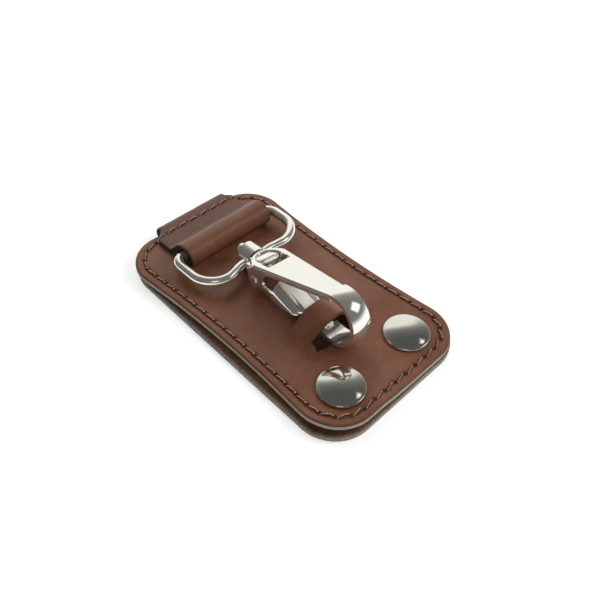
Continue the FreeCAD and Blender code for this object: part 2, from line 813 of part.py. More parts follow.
def gate_lever():
    """Pressed channel on the gate pin: two cheeks and a web, with a slot through the cheeks."""
    inside = gate_half_width - gate_sheet
    channel = gate_channel(gate_half_width, gate_top, gate_shoulder)
    channel = channel.cut(gate_channel(inside, gate_top - gate_sheet, gate_shoulder - gate_sheet))
    lever = channel.common(gate_side()).common(gate_plan())
    wide = 2 * (gate_half_width + overrun)
    slot_low = Vector(-wide / 2, -gate_slot_end, gate_slot_sill - gate_foot)
    lever = lever.cut(Part.makeBox(wide, gate_slot_end - gate_slot_start, gate_slot_height, slot_low))
    web_gap = Part.makeBox(2 * inside, gate_web_start - ear_back, 2 * gate_foot,
                           Vector(-inside, -gate_web_start, -gate_foot))
    lever = lever.cut(web_gap)
    return placed(lever.cut(pin_bar(pin_radius + running_clearance)), hook_roll_deg)


def biarc(start, start_way, end, end_way):
    """Two tangent arcs from start to end that leave and arrive along the given unit ways."""
    chord = end - start
    ways = start_way + end_way
    a = 2 * (1 - start_way.dot(end_way))
    b = 2 * chord.dot(ways)
    reach = (math.sqrt(b ** 2 + 4 * a * chord.dot(chord)) - b) / (2 * a)
    first = start + start_way * reach
    second = end - end_way * reach
    joint = (first + second) / 2
    return [arc_from(start, start_way, joint), arc_from(joint, (second - first).normalize(), end)]


def arc_from(start, way, end):
    """Arc that leaves start along way and ends at end."""
    chord = end - start
    half_angle = math.acos(chord.normalize().dot(way))
    chord = end - start
    bulge = chord.Length / 2 * math.tan(half_angle / 2)
    outward = (way - chord * (way.dot(chord) / chord.dot(chord))).normalize()
    return arc(start, (start + end) / 2 + outward * bulge, end)


def gate_spring():
    """Torsion spring round the pin: one leg on the gate's web, the other against the swivel post."""
    half_length = spring_pitch * spring_turns / 2
    lead = spring_pitch / (2 * math.pi)

    def at(turn):
        y = spring_mean_radius * math.sin(turn)
        z = spring_mean_radius * math.cos(turn)
        return Vector(lead * turn - half_length, y - pin_distance, z - pin_depth)

    def way(turn):
        y = spring_mean_radius * math.cos(turn)
        z = -spring_mean_radius * math.sin(turn)
        return Vector(lead, y, z).normalize()

    quarter = math.pi / 2
    steps = [math.radians(spring_leg_deg)] + [quarter * step for step in range(1, 4 * spring_turns + 1)]
    edges = []
    for start, end in zip(steps, steps[1:]):
        edges += biarc(at(start), way(start), at(end), way(end))
    first_leg = at(steps[0]) - way(steps[0]) * spring_leg
    last_leg = at(steps[-1]) + way(steps[-1]) * (spring_mean_radius / 2)
    edges = [line(first_leg, at(steps[0]))] + edges + [line(at(steps[-1]), last_leg)]
    path = Part.Wire(edges)
    section = Part.Wire([Part.makeCircle(spring_wire_radius, first_leg, way(steps[0]))])
    spring = path.makePipeShell([section], True, False)
    print("gate spring gap between turns", round(least_gap(path), 2))
    return placed(spring, hook_roll_deg)


def least_gap(path):
    """Least free space between points of the wire at least half a turn apart."""
    points = path.discretize(Distance=spring_wire_radius)
    apart = round(math.pi * spring_mean_radius / spring_wire_radius)
    gaps = []
    for first in range(len(points)):
        for second in range(first + apart, len(points)):
            gaps.append(points[first].distanceToPoint(points[second]))
    return min(gaps) - 2 * spring_wire_radius


def export(node, shape):
    if not shape.isValid():
        print("not valid:", node)
    shape.exportStep(os.path.join("parts", node + ".step"))
    print(node, "solids", len(shape.Solids), "volume", round(shape.Volume, 2))


def moved(shape, place, height):
    shape.translate(Vector(place.x, place.y, height))
    return shape


def main():
    os.makedirs("parts", exist_ok=True)
    export("front_panel", front_panel())
    export("hook_keeper", hook_keeper())
    export("ring_strap", ring_strap())
    export("flap_neck", flap_neck())
    export("back_flap", back_flap())
    export("border_thread", border_thread())
    for name, place in stud_places():
        export("snap_cap_" + name, moved(snap_cap(), place, face_z))
        export("snap_socket_" + name, moved(snap_socket(), place, panel_back_z))
        export("socket_spring_" + name, moved(socket_spring(), place, panel_back_z))
        export("snap_stud_" + name, moved(snap_stud(), place, flap_thick))
        export("stud_eyelet_" + name, moved(stud_eyelet(), place, 0))
    export("swivel_eye", swivel_eye())
    export("swivel_post", swivel_post())
    export("hook_body", hook_body())
    export("gate_lever", gate_lever())
    export("gate_pin", gate_pin())
    export("gate_spring", gate_spring())


main()
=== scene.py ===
import json
import math

import bmesh
import bpy
import numpy as np
from mathutils import Matrix, Vector, noise
from mathutils.geometry import delaunay_2d_cdt


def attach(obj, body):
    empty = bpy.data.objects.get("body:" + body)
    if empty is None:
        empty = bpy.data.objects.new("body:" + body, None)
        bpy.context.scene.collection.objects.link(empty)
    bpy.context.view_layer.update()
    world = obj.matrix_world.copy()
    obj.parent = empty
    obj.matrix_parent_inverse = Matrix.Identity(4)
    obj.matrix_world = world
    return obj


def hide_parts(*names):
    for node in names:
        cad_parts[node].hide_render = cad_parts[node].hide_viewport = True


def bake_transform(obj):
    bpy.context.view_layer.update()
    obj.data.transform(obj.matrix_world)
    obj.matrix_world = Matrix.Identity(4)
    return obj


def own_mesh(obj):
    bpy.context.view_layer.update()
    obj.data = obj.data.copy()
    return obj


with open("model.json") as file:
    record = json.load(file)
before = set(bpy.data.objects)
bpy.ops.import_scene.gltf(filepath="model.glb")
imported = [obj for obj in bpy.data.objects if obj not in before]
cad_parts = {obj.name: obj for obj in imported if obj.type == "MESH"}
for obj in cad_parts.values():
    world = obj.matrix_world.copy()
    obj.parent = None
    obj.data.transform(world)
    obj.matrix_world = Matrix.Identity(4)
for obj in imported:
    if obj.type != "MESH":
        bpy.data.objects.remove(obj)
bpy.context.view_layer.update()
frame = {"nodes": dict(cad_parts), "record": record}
nodes = frame["nodes"]

# Sizes in millimetres, repeated from the part's source
MM = 0.001
PANEL_W, PANEL_L, PANEL_CORNER, PANEL_WAIST = 49.6, 84.5, 11.0, 1.5
PANEL_X, PANEL_Y = 0.6, -1.15
FACE_Z, BACK_Z, FLAP_T = 3.9, 2.2, 1.5
TOP_Y, FOOT_Y = PANEL_Y + PANEL_L / 2, PANEL_Y - PANEL_L / 2
FLAP_W, FLAP_CORNER, FLAP_TAPER = 50.8, 11.0, 1.3
FLAP_SETBACK, FLAP_OVERHANG = 1.0, 0.4
FLAP_HEAD, FLAP_FOOT = TOP_Y - FLAP_SETBACK, FOOT_Y - FLAP_OVERHANG
STRAP_LEFT, STRAP_RIGHT, CLIP_LEFT, CLIP_RIGHT = -12.8, 16.4, 3.2, 1.7
NECK_LEFT, NECK_RIGHT = STRAP_LEFT + CLIP_LEFT, STRAP_RIGHT - CLIP_RIGHT
STUD_LEFT, STUD_RIGHT, STUD_Y = -11.9, 13.1, -32.75
STUDS = [(STUD_LEFT, STUD_Y), (STUD_RIGHT, STUD_Y)]
SOCKET_HOLE_R, STUD_HOLE_R = 3.4, 1.25
SEAM_INSET, STITCH_PITCH = 2.5, 3.9
KEEPER_X, KEEPER_Y, KEEPER_HALF, KEEPER_W = -0.634, -20.14, 7.8, 8.2

# The hook's own frame, from the joints: across it, along it from the ring bar, and up
JOINTS = {joint["name"]: joint for joint in frame["record"]["behaviour"]["joints"]}
RING_BAR = Vector(JOINTS["ring_swing"]["pos_m"]) / MM
ACROSS = -Vector(JOINTS["gate_pivot"]["axis"])
ALONG = Vector(JOINTS["hook_swivel"]["axis"])
UPWARD = ALONG.cross(ACROSS)


def on_hook(x, distance, z):
    return tuple(RING_BAR + ACROSS * x + ALONG * distance + UPWARD * z)


# Camera at the photograph's angle
VIEW_AZIMUTH, VIEW_ELEVATION, VIEW_ROLL = (math.radians(angle) for angle in (-47.32, 46.90, 3.18))
VIEW_TARGET, VIEW_DISTANCE = Vector((1.33, -5.43, 3.9)), 187.5
LENS, SENSOR_W, CLIP_START = 41.72, 36.0, 0.001


def make_camera():
    level, rise = math.cos(VIEW_ELEVATION), math.sin(VIEW_ELEVATION)
    back = Vector((math.sin(VIEW_AZIMUTH) * level, -math.cos(VIEW_AZIMUTH) * level, rise))
    right = Vector((math.cos(VIEW_AZIMUTH), math.sin(VIEW_AZIMUTH), 0))
    top = back.cross(right)
    across = right * math.cos(VIEW_ROLL) + top * math.sin(VIEW_ROLL)
    top = top * math.cos(VIEW_ROLL) - right * math.sin(VIEW_ROLL)
    turn = Matrix((across, top, back)).transposed().to_4x4()
    camera = bpy.data.objects.new("camera", bpy.data.cameras.new("camera"))
    bpy.context.scene.collection.objects.link(camera)
    camera.matrix_world = Matrix.Translation((VIEW_TARGET + back * VIEW_DISTANCE) * MM) @ turn
    camera.data.sensor_fit = "HORIZONTAL"
    camera.data.sensor_width = SENSOR_W
    camera.data.lens = LENS
    camera.data.clip_start = CLIP_START
    bpy.context.scene.camera = camera


make_camera()


# Shader helpers
def set_inputs(tree, made, inputs):
    """Sets or links a node's inputs, by name or number."""
    for key, value in inputs.items():
        if isinstance(value, bpy.types.NodeSocket):
            tree.links.new(value, made.inputs[key])
        else:
            made.inputs[key].default_value = value


def node(tree, kind, inputs=None, **settings):
    """New shader node with its settings and inputs."""
    made = tree.nodes.new(kind)
    for key, value in settings.items():
        setattr(made, key, value)
    set_inputs(tree, made, inputs or {})
    return made


def srgb(*rgb):
    """Linear colour from an 8-bit screen colour."""
    shares = [value / 255 for value in rgb]
    return tuple(s / 12.92 if s <= 0.04 else ((s + 0.055) / 1.055) ** 2.4 for s in shares) + (1.0,)


def new_material(name):
    """Material, its tree and shader, and the place on the piece in millimetres."""
    made = bpy.data.materials.new(name)
    made.use_nodes = True
    tree = made.node_tree
    place = node(tree, "ShaderNodeTexCoord").outputs["Object"]
    in_mm = node(tree, "ShaderNodeVectorMath", {0: place, "Scale": 1 / MM}, operation="SCALE").outputs[0]
    return made, tree, tree.nodes["Principled BSDF"], in_mm


def attribute(tree, name):
    return node(tree, "ShaderNodeAttribute", attribute_name=name).outputs["Fac"]


def stretched(tree, place, factors):
    return node(tree, "ShaderNodeVectorMath", {0: place, 1: factors}, operation="MULTIPLY").outputs[0]


def noise_map(tree, place, scale, detail, rough):
    return node(tree, "ShaderNodeTexNoise",
                {"Vector": place, "Scale": scale, "Detail": detail, "Roughness": rough}).outputs["Fac"]


def cell_map(tree, place, scale, feature="F1"):
    made = node(tree, "ShaderNodeTexVoronoi", {"Vector": place, "Scale": scale}, feature=feature)
    return made.outputs["Distance"]


def ramp(tree, value, stops):
    made = node(tree, "ShaderNodeValToRGB", {"Fac": value})
    while len(made.color_ramp.elements) < len(stops):
        made.color_ramp.elements.new(0.5)
    for element, (place, colour) in zip(made.color_ramp.elements, stops):
        element.position = place
        element.color = colour
    return made.outputs["Color"]


def span(tree, value, low, high, to_low, to_high):
    """Value between low and high mapped to the span from to_low to to_high."""
    return node(tree, "ShaderNodeMapRange", {"Value": value, "From Min": low, "From Max": high,
                                             "To Min": to_low, "To Max": to_high}).outputs[0]


def calc(tree, operation, a, b):
    return node(tree, "ShaderNodeMath", {0: a, 1: b}, operation=operation).outputs[0]


def mix(tree, factor, a, b, blend="MIX"):
    """Mixed colour; the node's colour sockets are 6 and 7, and 2 on its way out."""
    made = node(tree, "ShaderNodeMix", {0: factor, 6: a, 7: b}, data_type="RGBA", blend_type=blend)
    return made.outputs[2]


def bump(tree, height, distance, strength, under=None):
    inputs = {"Height": height, "Distance": distance * MM, "Strength": strength}
    if under is not None:
        inputs["Normal"] = under
    return node(tree, "ShaderNodeBump", inputs).outputs["Normal"]


# Materials
def leather_grain(name):
    """Glazed brown hide: mottling, pores and fine grain, darker at its burnished edges, with painted shade
    in the awl holes and along the seam's groove; the strap's flat is coloured darker than its roll.
    """
    tones = [(0.3, srgb(101, 62, 42)), (0.55, srgb(111, 70, 49)), (0.75, srgb(120, 79, 58))]
    # The last of these colours is painted shade, for the awl holes and the seam's groove.
    darker_tone, burnished, seam_shade_colour = srgb(76, 53, 42), srgb(72, 45, 33), srgb(54, 21, 12)
    made, tree, shader, place = new_material(name)
    blotch = noise_map(tree, place, 0.09, 3.0, 0.55)
    mottle = noise_map(tree, place, 1.1, 4.0, 0.6)
    base = mix(tree, 1.0, ramp(tree, blotch, tones), span(tree, mottle, 0.3, 0.7, 0.86, 1.1), "MULTIPLY")
    pits = span(tree, cell_map(tree, place, 1.9), 0.04, 0.16, 0.8, 1.0)
    base = mix(tree, 1.0, base, pits, "MULTIPLY")
    # The strap's flat and the neck are coloured darker than its roll.
    base = mix(tree, span(tree, attribute(tree, "flat_darkening"), 0.0, 1.0, 0.0, 0.55), base, darker_tone)
    base = mix(tree, span(tree, attribute(tree, "edge_mm"), 0.0, 0.7, 0.7, 0.0), base, burnished)
    # Painted shade: dark in the awl holes and faintly along the seam's groove.
    base = mix(tree, attribute(tree, "seam"), base, seam_shade_colour)
    grain = bump(tree, cell_map(tree, place, 2.4, "SMOOTH_F1"), 0.03, 0.35)
    grain = bump(tree, noise_map(tree, place, 5.0, 3.0, 0.6), 0.02, 0.4, grain)
    set_inputs(tree, shader, {"Base Color": base, "Roughness": span(tree, mottle, 0.3, 0.7, 0.32, 0.44),
                              "Normal": bump(tree, pits, 0.03, 0.5, grain)})
    return made


def leather_edge(name, pale, dark):
    """Raw cut edge: layered fibres."""
    made, tree, shader, place = new_material(name)
    layers = noise_map(tree, stretched(tree, place, (1.0, 1.0, 4.0)), 1.3, 4.0, 0.65)
    fibres = noise_map(tree, place, 7.0, 3.0, 0.7)
    base = ramp(tree, layers, [(0.3, dark), (0.62, pale)])
    base = mix(tree, 1.0, base, span(tree, fibres, 0.25, 0.75, 0.7, 1.15), "MULTIPLY")
    rough = bump(tree, layers, 0.12, 0.6)
    set_inputs(tree, shader, {"Base Color": base, "Roughness": 0.92, "Specular IOR Level": 0.2,
                              "Normal": bump(tree, fibres, 0.06, 0.8, rough)})
    return made


def leather_flesh(name):
    """Rough underside: matted brown fibres, frayed to grey at the edge."""
    tones = [(0.3, srgb(84, 56, 43)), (0.52, srgb(98, 66, 52)), (0.72, srgb(112, 79, 64))]
    made, tree, shader, place = new_material(name)
    mottle = noise_map(tree, place, 0.6, 5.0, 0.7)
    fibres = noise_map(tree, place, 4.5, 4.0, 0.7)
    base = mix(tree, 1.0, ramp(tree, mottle, tones), span(tree, fibres, 0.25, 0.75, 0.72, 1.18), "MULTIPLY")
    edge = span(tree, attribute(tree, "edge_mm"), 0.1, 0.9, 0.9, 0.0)
    frayed = calc(tree, "MULTIPLY", edge, span(tree, fibres, 0.42, 0.58, 0.1, 1.0))
    base = mix(tree, frayed, base, srgb(158, 152, 136))
    nap = bump(tree, fibres, 0.12, 0.8)
    set_inputs(tree, shader, {"Base Color": base, "Roughness": 0.95, "Specular IOR Level": 0.15,
                              "Normal": bump(tree, mottle, 0.2, 0.4, nap)})
    return made


def thread_material(name):
    """Pale twisted thread, pale only on the top of each ply, with painted shade below it and between the
    plies.
    """
    pale, paler, ply_shade = srgb(214, 170, 146), srgb(244, 212, 190), srgb(66, 28, 16)
    made, tree, shader, place = new_material(name)
    fibres = noise_map(tree, place, 6.0, 3.0, 0.6)
    base = mix(tree, noise_map(tree, place, 0.5, 2.0, 0.5), pale, paler)
    # Painted shade: dark wherever a point lies low on its ply, by its crest height.
    base = mix(tree, span(tree, attribute(tree, "crest"), 0.55, 0.95, 0.0, 1.0), ply_shade, base)
    base = mix(tree, 1.0, base, span(tree, fibres, 0.3, 0.7, 0.75, 1.15), "MULTIPLY")
    set_inputs(tree, shader, {"Base Color": base, "Roughness": span(tree, fibres, 0.3, 0.7, 0.45, 0.7),
                              "Normal": bump(tree, fibres, 0.03, 0.5)})
    return made


def metal(name, pale, dull, smooth, rough, scratch, metallic=0.9):
    """Plated metal: faint clouding, handling scratches and uneven polish."""
    made, tree, shader, place = new_material(name)
    base = mix(tree, noise_map(tree, place, 0.35, 3.0, 0.5), pale, dull)
    lines = noise_map(tree, stretched(tree, place, (6.0, 0.35, 6.0)), 1.6, 4.0, 0.7)
    polish = span(tree, noise_map(tree, place, 1.2, 4.0, 0.65), 0.35, 0.75, smooth, rough)
    wavy = bump(tree, noise_map(tree, place, 0.5, 1.0, 0.4), 0.02, 0.25)
    set_inputs(tree, shader, {"Base Color": base, "Metallic": metallic, "Roughness": polish,
                              "Normal": bump(tree, lines, scratch, 0.3, wavy)})
    return made


GRAIN = leather_grain("leather_grain")
EDGE = leather_edge("leather_edge", srgb(204, 201, 186), srgb(140, 130, 114))
FLESH = leather_flesh("leather_flesh")
FLAP_EDGE = leather_edge("flap_edge", srgb(186, 184, 170), srgb(104, 94, 80))
STRAP_EDGE = leather_edge("strap_edge", srgb(66, 60, 46), srgb(30, 24, 17))
KEEPER_EDGE = leather_edge("keeper_edge", srgb(104, 76, 58), srgb(58, 38, 27))
THREAD = thread_material("thread")
NICKEL = metal("nickel", (0.92, 0.905, 0.84, 1), (0.86, 0.845, 0.78, 1), 0.07, 0.16, 0.003)
CAP_NICKEL = metal("cap_nickel", (0.76, 0.755, 0.68, 1), (0.7, 0.695, 0.63, 1), 0.08, 0.16, 0.003, 1.0)
# Painted reflection: the gate's web is near-white and mostly diffuse, so it shows bright where nickel would
# mirror the dark leather.
WEB_SHINE = metal("nickel_web_painted_shine", (0.93, 0.92, 0.86, 1), (0.88, 0.87, 0.81, 1), 0.3, 0.42, 0.006, 0.15)
STEEL = metal("spring_steel", (0.6, 0.59, 0.57, 1), (0.48, 0.47, 0.46, 1), 0.2, 0.34, 0.01)

# Mesh helpers
FACE_SLOT, EDGE_SLOT, BACK_SLOT = 0, 1, 2
SHARP_ANGLE = math.radians(55)
SIDE_STEPS, CORNER_STEPS, BATCH, GRID_LOOP_POINTS = 200, 60, 500, 300
SAME_SPOT, CUT_GAP, TINY = 1e-6, 1e-5, 1e-12


def add_mesh(name, points, faces, materials, face_slots=None, attributes=None):
    """Mesh object from points in millimetres, smooth, with its normals outward."""
    mesh = bpy.data.meshes.new(name)
    mesh.from_pydata([Vector(p) * MM for p in points], [], faces)
    for made in materials:
        mesh.materials.append(made)
    if face_slots is not None:
        mesh.polygons.foreach_set("material_index", face_slots)
    for key, values in (attributes or {}).items():
        mesh.attributes.new(key, "FLOAT", "POINT").data.foreach_set("value", values)
    shell = bmesh.new()
    shell.from_mesh(mesh)
    bmesh.ops.recalc_face_normals(shell, faces=shell.faces)
    shell.to_mesh(mesh)
    shell.free()
    mesh.polygons.foreach_set("use_smooth", [True] * len(mesh.polygons))
    mesh.set_sharp_from_angle(angle=SHARP_ANGLE)
    made = bpy.data.objects.new(name, mesh)
    bpy.context.scene.collection.objects.link(made)
    return made


def rows_from(first, size, count):
    """Point numbers of rows that follow one another."""
    return [range(first + row * size, first + (row + 1) * size) for row in range(count)]


def band(a, b):
    """Faces between two closed rows of point numbers."""
    after = [(k + 1) % len(a) for k in range(len(a))]
    return [(a[k], a[n], b[n], b[k]) for k, n in enumerate(after)]


def tube(rows):
    """Faces along closed rows of point numbers, with flat ends."""
    faces = [face for a, b in zip(rows, rows[1:]) for face in band(a, b)]
    return faces + [tuple(rows[0]), tuple(rows[-1])]


def outline(width, length, corner, waist, centre, count, taper=0.0):
    """Even points round a rounded shape, from the right of its foot; long sides are drawn in or taper."""
    reach = length / 2 - corner
    foot_x = width / 2 - corner
    head_x = foot_x - taper
    if waist:
        bow = ((corner - waist) ** 2 + reach ** 2 - corner ** 2) / (2 * waist)
        foot_lean = math.asin(reach / (bow + corner))
        head_lean = -foot_lean
        swing = np.linspace(-foot_lean, foot_lean, SIDE_STEPS)
        side = np.column_stack([width / 2 - waist + bow * (1 - np.cos(swing)), bow * np.sin(swing)])
    else:
        foot_lean = head_lean = math.atan(taper / (2 * reach))
        side = np.zeros((0, 2))
    turn = np.linspace(-math.pi / 2, foot_lean, CORNER_STEPS)
    foot = np.column_stack([foot_x + corner * np.cos(turn), -reach + corner * np.sin(turn)])
    turn = np.linspace(head_lean, math.pi / 2, CORNER_STEPS)
    head = np.column_stack([head_x + corner * np.cos(turn), reach + corner * np.sin(turn)])
    right = np.vstack([foot, side, head])
    left = right[::-1] * (-1, 1)
    whole = np.vstack([right, left, right[:1]])
    keep = np.r_[True, np.linalg.norm(np.diff(whole, axis=0), axis=1) > SAME_SPOT]
    return resample(whole[keep] + np.array(centre), count)


def resample(line, count):
    """Even points along a line, without its last point."""
    steps = np.r_[0, np.cumsum(np.linalg.norm(np.diff(line, axis=0), axis=1))]
    wanted = np.linspace(0, steps[-1], count, endpoint=False)
    return np.stack([np.interp(wanted, steps, line[:, k]) for k in range(line.shape[1])], 1)


def circle(spot, radius, count):
    a = np.linspace(0, 2 * math.pi, count, endpoint=False)
    return np.column_stack([spot[0] + radius * np.cos(a), spot[1] + radius * np.sin(a)])


def grid(x_span, y_span, pitch):
    xs, ys = np.meshgrid(np.arange(*x_span, pitch), np.arange(*y_span, pitch))
    return np.column_stack([xs.ravel(), ys.ravel()])


def off_studs(points, clear):
    """The points that keep clear of both press studs."""
    for spot in STUDS:
        points = points[np.hypot(*(points - np.array(spot)).T) > clear]
    return points


def gap_to(points, line):
    """Distance from each point to the nearest point of a dense line."""
    best = np.zeros(len(points))
    for start in range(0, len(points), BATCH):
        part = points[start:start + BATCH]
        best[start:start + BATCH] = np.sqrt(((part[:, None, :] - line[None, :, :]) ** 2).sum(2).min(1))
    return best


def ease(t):
    """Soft step from 0 to 1."""
    t = np.clip(t, 0.0, 1.0)
    return t * t * (3 - 2 * t)


def bell(gap, half):
    return np.exp(-(gap / half) ** 2)


def rounded_drop(gap, radius):
    """How far a rounded edge has fallen at a distance from it."""
    inner = np.clip(radius - gap, 0, radius)
    return radius - np.sqrt(radius ** 2 - inner ** 2)


def ripples(spots, waves):
    """Unevenness of a sheet from waves of (seed, scale, size)."""
    def height(x, y):
        return sum(size * noise.noise(Vector((x * scale, y * scale, seed))) for seed, scale, size in waves)

    return np.array([height(x, y) for x, y in spots])


def inside(points, loop):
    """Which points lie inside a closed loop."""
    x, y = points[:, 0], points[:, 1]
    hit = np.zeros(len(points), bool)
    for (ax, ay), (bx, by) in zip(loop, np.roll(loop, -1, 0)):
        crossing = (ay > y) != (by > y)
        hit ^= crossing & (x < (bx - ax) * (y - ay) / (by - ay + TINY) + ax)
    return hit


def flat_mesh(loops, extra):
    """Triangles over the first loop less the other loops, through the extra points."""
    points, edges = [], []
    for loop in loops:
        first = len(points)
        points += [Vector(p) for p in loop]
        edges += [(first + k, first + (k + 1) % len(loop)) for k in range(len(loop))]
    kept = len(points)
    points += [Vector(p) for p in extra]
    out = delaunay_2d_cdt(points, edges, [], 1, CUT_GAP)
    spots = np.array([tuple(p) for p in out[0]])
    faces = np.array(out[2])
    middle = spots[faces].mean(1)
    good = inside(middle, loops[0])
    for loop in loops[1:]:
        good &= ~inside(middle, loop)
    origin = [min(o) if o else -1 for o in out[3]]
    return spots, faces[good], {o: k for k, o in enumerate(origin) if 0 <= o < kept}


# Leather: sheets with raw walls and strips swept along a path
RAW_LUMPS = ((0.9, 3, 7, 1.0), (3.1, 5, 3, 0.6))
WALL_STEPS = 4
STRIP_CROWN, STRIP_HEEL, CROWN_POINTS, WALL_POINTS = 0.3, 0.12, 5, 4
SWELL, SWELL_SCALE, FIBRE, FIBRE_SCALE = 0.05, 0.35, 0.04, 2.2


def raw_lump(spot):
    """Unevenness of a raw wall from lumps of (scale along it, scale down it, seed, share)."""
    x, y, z = spot
    return sum(share * noise.noise(Vector((x * along, y * along, z * down + seed)))
               for along, down, seed, share in RAW_LUMPS)


def wall_row(points, ring, count, share, fuzz):
    """Adds a row of points round a wall, at a share of its depth, and gives their numbers."""
    first = len(points)
    for k, i in enumerate(ring):
        upper, lower = np.array(points[i]), np.array(points[count + i])
        way = np.array(points[ring[(k + 1) % len(ring)]]) - np.array(points[ring[k - 1]])
        out = np.array((way[1], -way[0], 0)) / (np.linalg.norm(way[:2]) + TINY)
        spot = upper + (lower - upper) * share
        points.append(tuple(spot + out * fuzz * raw_lump(spot)))
    return range(first, len(points))


def slab(name, loops, extra, top, foot, materials, attributes, fuzz):
    """Leather sheet: top and foot surfaces over a flat mesh, with raw walls round every loop."""
    spots, faces, index = flat_mesh(loops, extra)
    count = len(spots)
    points = [tuple(p) for surface in (top, foot) for p in np.column_stack([spots, surface(spots)])]
    polygons = [tuple(f) for f in faces] + [tuple(count + i for i in f[::-1]) for f in faces]
    slots = [FACE_SLOT] * len(faces) + [BACK_SLOT] * len(faces)
    first = 0
    for loop in loops:
        ring = [index[first + k] for k in range(len(loop))]
        first += len(loop)
        rows = [wall_row(points, ring, count, step / WALL_STEPS, fuzz) for step in range(1, WALL_STEPS)]
        rows = [ring] + rows + [[count + i for i in ring]]
        for a, b in zip(rows, rows[1:]):
            polygons += band(a, b)
            slots += [EDGE_SLOT] * len(ring)
    values = {}
    for key, function in attributes.items():
        flat = list(function(spots))
        values[key] = flat + flat + [0.0] * (len(points) - 2 * count)
    return add_mesh(name, points, polygons, materials, slots, values)


def strip_section(half, thick, lines):
    """Points (across, depth, slot) round a strip whose grain side has rounded edges."""
    crown, heel = half - STRIP_CROWN, half - STRIP_HEEL
    turn = np.linspace(0, math.pi / 2, CROWN_POINTS)[1:]
    rounded = [(crown + STRIP_CROWN * math.sin(a), STRIP_CROWN * (1 - math.cos(a))) for a in turn]
    depths = np.linspace(STRIP_CROWN, thick - STRIP_HEEL, WALL_POINTS)
    section = [(u, 0.0, FACE_SLOT) for u in np.linspace(-crown, crown, lines)]
    section += [(u, d, FACE_SLOT) for u, d in rounded]
    section += [(half, d, EDGE_SLOT) for d in depths[1:]] + [(heel, thick, EDGE_SLOT)]
    section += [(u, thick, BACK_SLOT) for u in np.linspace(heel, -heel, lines)[1:]]
    section += [(-half, d, EDGE_SLOT) for d in depths[::-1]]
    return section + [(-u, d, FACE_SLOT) for u, d in rounded[-2::-1]]


def strip(name, path, across, halves, thick, materials, lines, cap_end=False, more=None):
    """Leather strip swept along a path of (grain point, outward normal)."""
    points, edge = [], []
    for (spot, out), half in zip(path, halves):
        section = strip_section(half, thick, lines)
        for u, depth, _ in section:
            at = Vector(spot) + across * u - Vector(out) * depth
            lump = SWELL * noise.noise(at * SWELL_SCALE)
            if depth > STRIP_CROWN / 2:
                lump += FIBRE * noise.noise(at * FIBRE_SCALE)
            points.append(tuple(at + Vector(out) * lump * (1 if depth < thick / 2 else -1)))
            edge.append(max(0.0, half - abs(u)))
    rows = rows_from(0, len(section), len(path))
    faces = [face for a, b in zip(rows, rows[1:]) for face in band(a, b)]
    slots = ([slot for _, _, slot in section[1:]] + [FACE_SLOT]) * (len(path) - 1)
    if cap_end:
        faces.append(tuple(rows[-1]))
        slots.append(EDGE_SLOT)
    values = {"edge_mm": edge}
    for key, function in (more or {}).items():
        values[key] = list(function(np.array(points)))
    return add_mesh(name, points, faces, materials, slots, values)


def dress(piece, body, slot, *replaced):
    """Gives a piece its body and hides the nodes that it stands for; its slot argument is not used."""
    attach(piece, body)
    if replaced:
        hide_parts(*replaced)
    return piece


# Seam: places of the awl holes round the border, as in the part
SEWN_DEPTH, SEWN_MARGIN, SEAM_LINE_POINTS = 6.0, 0.25, 1440
# GROOVE_SHADE and AWL_SHADE set how strong the painted shade is along the groove and in the awl holes.
GROOVE_DEPTH, GROOVE_HALF, GROOVE_SHADE = 0.16, 0.5, 0.18
AWL_DEPTH, AWL_HALF, AWL_SHADE, AWL_SHADE_HALF = 0.28, 0.42, 2.0, 0.62


def panel_outline(inset, count):
    return outline(PANEL_W - 2 * inset, PANEL_L - 2 * inset, PANEL_CORNER - inset, PANEL_WAIST,
                   (PANEL_X, PANEL_Y), count)


SEAM = panel_outline(SEAM_INSET, SEAM_LINE_POINTS)
SEAM_LOOP = np.vstack([SEAM, SEAM[:1]])
STITCHES = round(np.linalg.norm(np.diff(SEAM_LOOP, axis=0), axis=1).sum() / STITCH_PITCH)
HOLES = resample(SEAM_LOOP, STITCHES)


def on_strap(spot):
    return STRAP_LEFT + SEWN_MARGIN < spot[0] < STRAP_RIGHT - SEWN_MARGIN and spot[1] > TOP_Y - SEWN_DEPTH


def seam_shade(spots):
    """Painted shade: dark round the awl holes and faintly along the groove, where they lie in shade."""
    holes = AWL_SHADE * bell(gap_to(spots, HOLES), AWL_SHADE_HALF)
    return np.clip(np.maximum(holes, GROOVE_SHADE * bell(gap_to(spots, SEAM), GROOVE_HALF)), 0, 1)


# Front panel, with turns in degrees and waves of (seed, scale, size)
RIM_POINTS, RIM_SKIP, SOCKET_HOLE_POINTS = 2400, 4, 40
RIM = panel_outline(0.0, RIM_POINTS)
SLOT_LOW, SLOT_HIGH, SLOT_PITCH = 1.3, 0.6, 0.35
WINDOW_LOW, WINDOW_HIGH = KEEPER_Y - SLOT_LOW, KEEPER_Y + KEEPER_W + SLOT_HIGH
RIM_ROUND, SLOT_ROUND, BACK_ROUND, PANEL_FUZZ = 0.42, 0.25, 0.15, 0.05
LIFT_FLAT, LIFT_RUN, LIFT_RISE = 1.6, 10.9, 5.45
HUMP_INNER, HUMP_LOW, HUMP_HIGH = 2.0, 1.3, 1.0
CURL_FROM, CURL_RUN, CURL_RISE, CURL_REACH, CURL_END = 6.4, 2.8, 1.05, 14.0, 5.0
CURL_TURN, CURL_SPREAD, CURL_FADE = 240, 40, 28
PANEL_WAVES = ((1.7, 0.07, 0.16), (5.2, 0.21, 0.05))
CALM_SLOT, CALM_RIM, CALM_SHARE, STRAP_COVER = 4.0, 2.0, 0.3, 18.0
